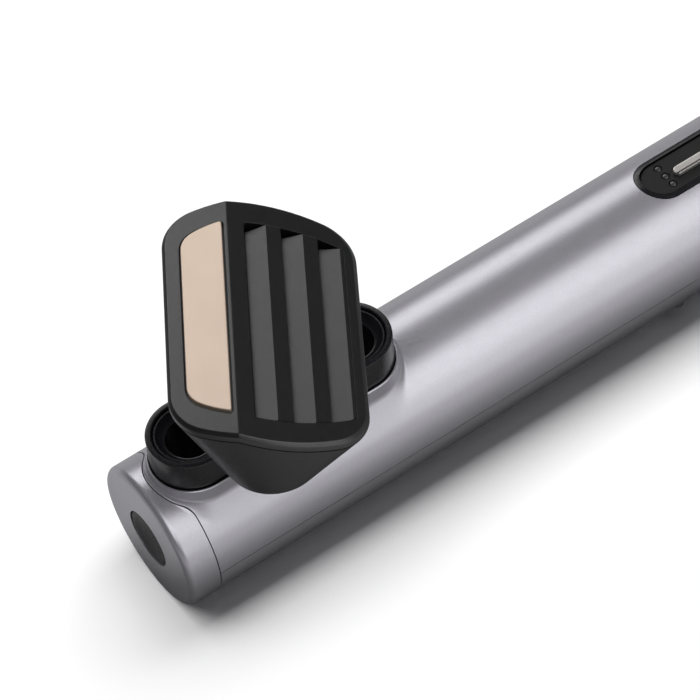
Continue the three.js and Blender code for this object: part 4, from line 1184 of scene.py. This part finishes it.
def photo_camera():
    """A camera at the photograph's angle. The point of the wand's axis under the collar falls on
    a pixel of the 700 pixel picture, at a scale of pixels to a millimetre."""
    s = stage_settings()
    pixel_x, pixel_y, per_mm, frame_px, sensor = 280.91, 457.81, 3.75, 700, 36.0
    back = Vector((
        math.sin(s.azimuth) * math.cos(s.elevation),
        -math.cos(s.azimuth) * math.cos(s.elevation),
        math.sin(s.elevation),
    ))
    right = Vector((0, 0, 1)).cross(back).normalized()
    up = back.cross(right)
    turned_right = right * math.cos(s.roll) + up * math.sin(s.roll)
    turned_up = up * math.cos(s.roll) - right * math.sin(s.roll)
    target = Vector((0, 0, AXIS_Z))
    across = (frame_px / 2 - pixel_x) / per_mm * MM
    down = (pixel_y - frame_px / 2) / per_mm * MM
    place = target + turned_right * across + turned_up * down + back * s.distance
    data = bpy.data.cameras.new("photo_camera")
    data.sensor_width = sensor
    data.lens = per_mm * (s.distance / MM) / frame_px * sensor
    data.clip_end = 20
    camera = bpy.data.objects.new("photo_camera", data)
    axes = Matrix((turned_right, turned_up, back)).transposed().to_4x4()
    camera.matrix_world = Matrix.Translation(place) @ axes
    bpy.context.scene.collection.objects.link(camera)
    bpy.context.scene.camera = camera


class STYLER_OT_stage(Operator):
    """Sets the white floor, the soft lights and the camera"""

    bl_idname = "styler.stage"
    bl_label = "Stage"

    def execute(self, context):
        s = stage_settings()
        floor = studio_floor()
        room(s.surround)
        aim = (0.1, 0, 0.03)
        front = softbox("front_softbox", s.front_light, (0.95, 0.8), (0.42, -0.64, 0.82), aim)
        low = softbox("low_card", s.low_light, (1.2, 0.45), (0.38, -1.05, 0.3), aim)
        back = softbox("back_strip", s.back_light, (0.95, 0.68), (0.33, 1.0, 0.7), aim)
        nose = softbox("nose_card", s.front_light, (0.55, 0.8), (-0.33, -0.64, 0.82), aim)
        only_on(nose, ("wand_upper", "wand_lower", "wand_nose"))
        card = softbox("head_card", s.head_light, (0.6, 0.5), (0.08, 0.62, 0.85), (0, 0, 0.07))
        only_on(card, ("head_lower", "head_frame", "plate_face", "louvre_insert"))
        key = softbox(
            "key_light", s.key_light, (2.4, 1.0), (0.1, 0.34, 1.26), (0.1, 0, 0), glossy=False
        )
        # Only the wand keeps this lamp from the floor, as in the photograph
        key.light_linking.blocker_collection = group_of("shadow_casters", (
            "wand_upper", "wand_lower", "wand_nose", "collar_wall", "collar_funnel", "control_rim",
            "control_floor_plate", "intake_guard_ring", "rear_cap_end",
        ))
        spare_floor(floor, front, low, back)
        photo_camera()
        context.scene.view_settings.view_transform = "Standard"
        return {"FINISHED"}


OPERATORS = (
    STYLER_OT_wand, STYLER_OT_end_button, STYLER_OT_collar, STYLER_OT_controls, STYLER_OT_rear_end,
    STYLER_OT_head_housing, STYLER_OT_front_cover, STYLER_OT_smoothing_plate, STYLER_OT_louvres,
    STYLER_OT_inner_parts, STYLER_OT_stage,
)


class STYLER_PT_pieces(Panel):
    """Lists the styler's pieces in the order in which they are made"""

    bl_idname = "STYLER_PT_pieces"
    bl_label = "Hair Styler"
    bl_space_type = "VIEW_3D"
    bl_region_type = "UI"
    bl_category = "Styler"

    def draw(self, context):
        for operator in OPERATORS:
            self.layout.operator(operator.bl_idname)
        for group in (sizes(), colours(), stage_settings()):
            box = self.layout.box()
            for key in group.bl_rna.properties.keys():
                if key not in ("rna_type", "name"):
                    box.prop(group, key)


GROUPS = {
    "styler_sizes": StylerSizes, "styler_colours": StylerColours, "styler_stage": StylerStage,
}
CLASSES = (*GROUPS.values(), *OPERATORS, STYLER_PT_pieces)


def register():
    for cls in CLASSES:
        bpy.utils.register_class(cls)
    for name, group in GROUPS.items():
        setattr(bpy.types.Scene, name, PointerProperty(type=group))


def unregister():
    for name in GROUPS:
        delattr(bpy.types.Scene, name)
    for cls in reversed(CLASSES):
        bpy.utils.unregister_class(cls)


def main():
    register()
    make_finishes()
    bpy.ops.styler.wand()
    bpy.ops.styler.end_button()
    bpy.ops.styler.collar()
    bpy.ops.styler.controls()
    bpy.ops.styler.rear_end()
    bpy.ops.styler.head_housing()
    bpy.ops.styler.front_cover()
    bpy.ops.styler.smoothing_plate()
    bpy.ops.styler.louvres()
    bpy.ops.styler.inner_parts()
    bpy.ops.styler.stage()


if __name__ == "__main__":
    main()
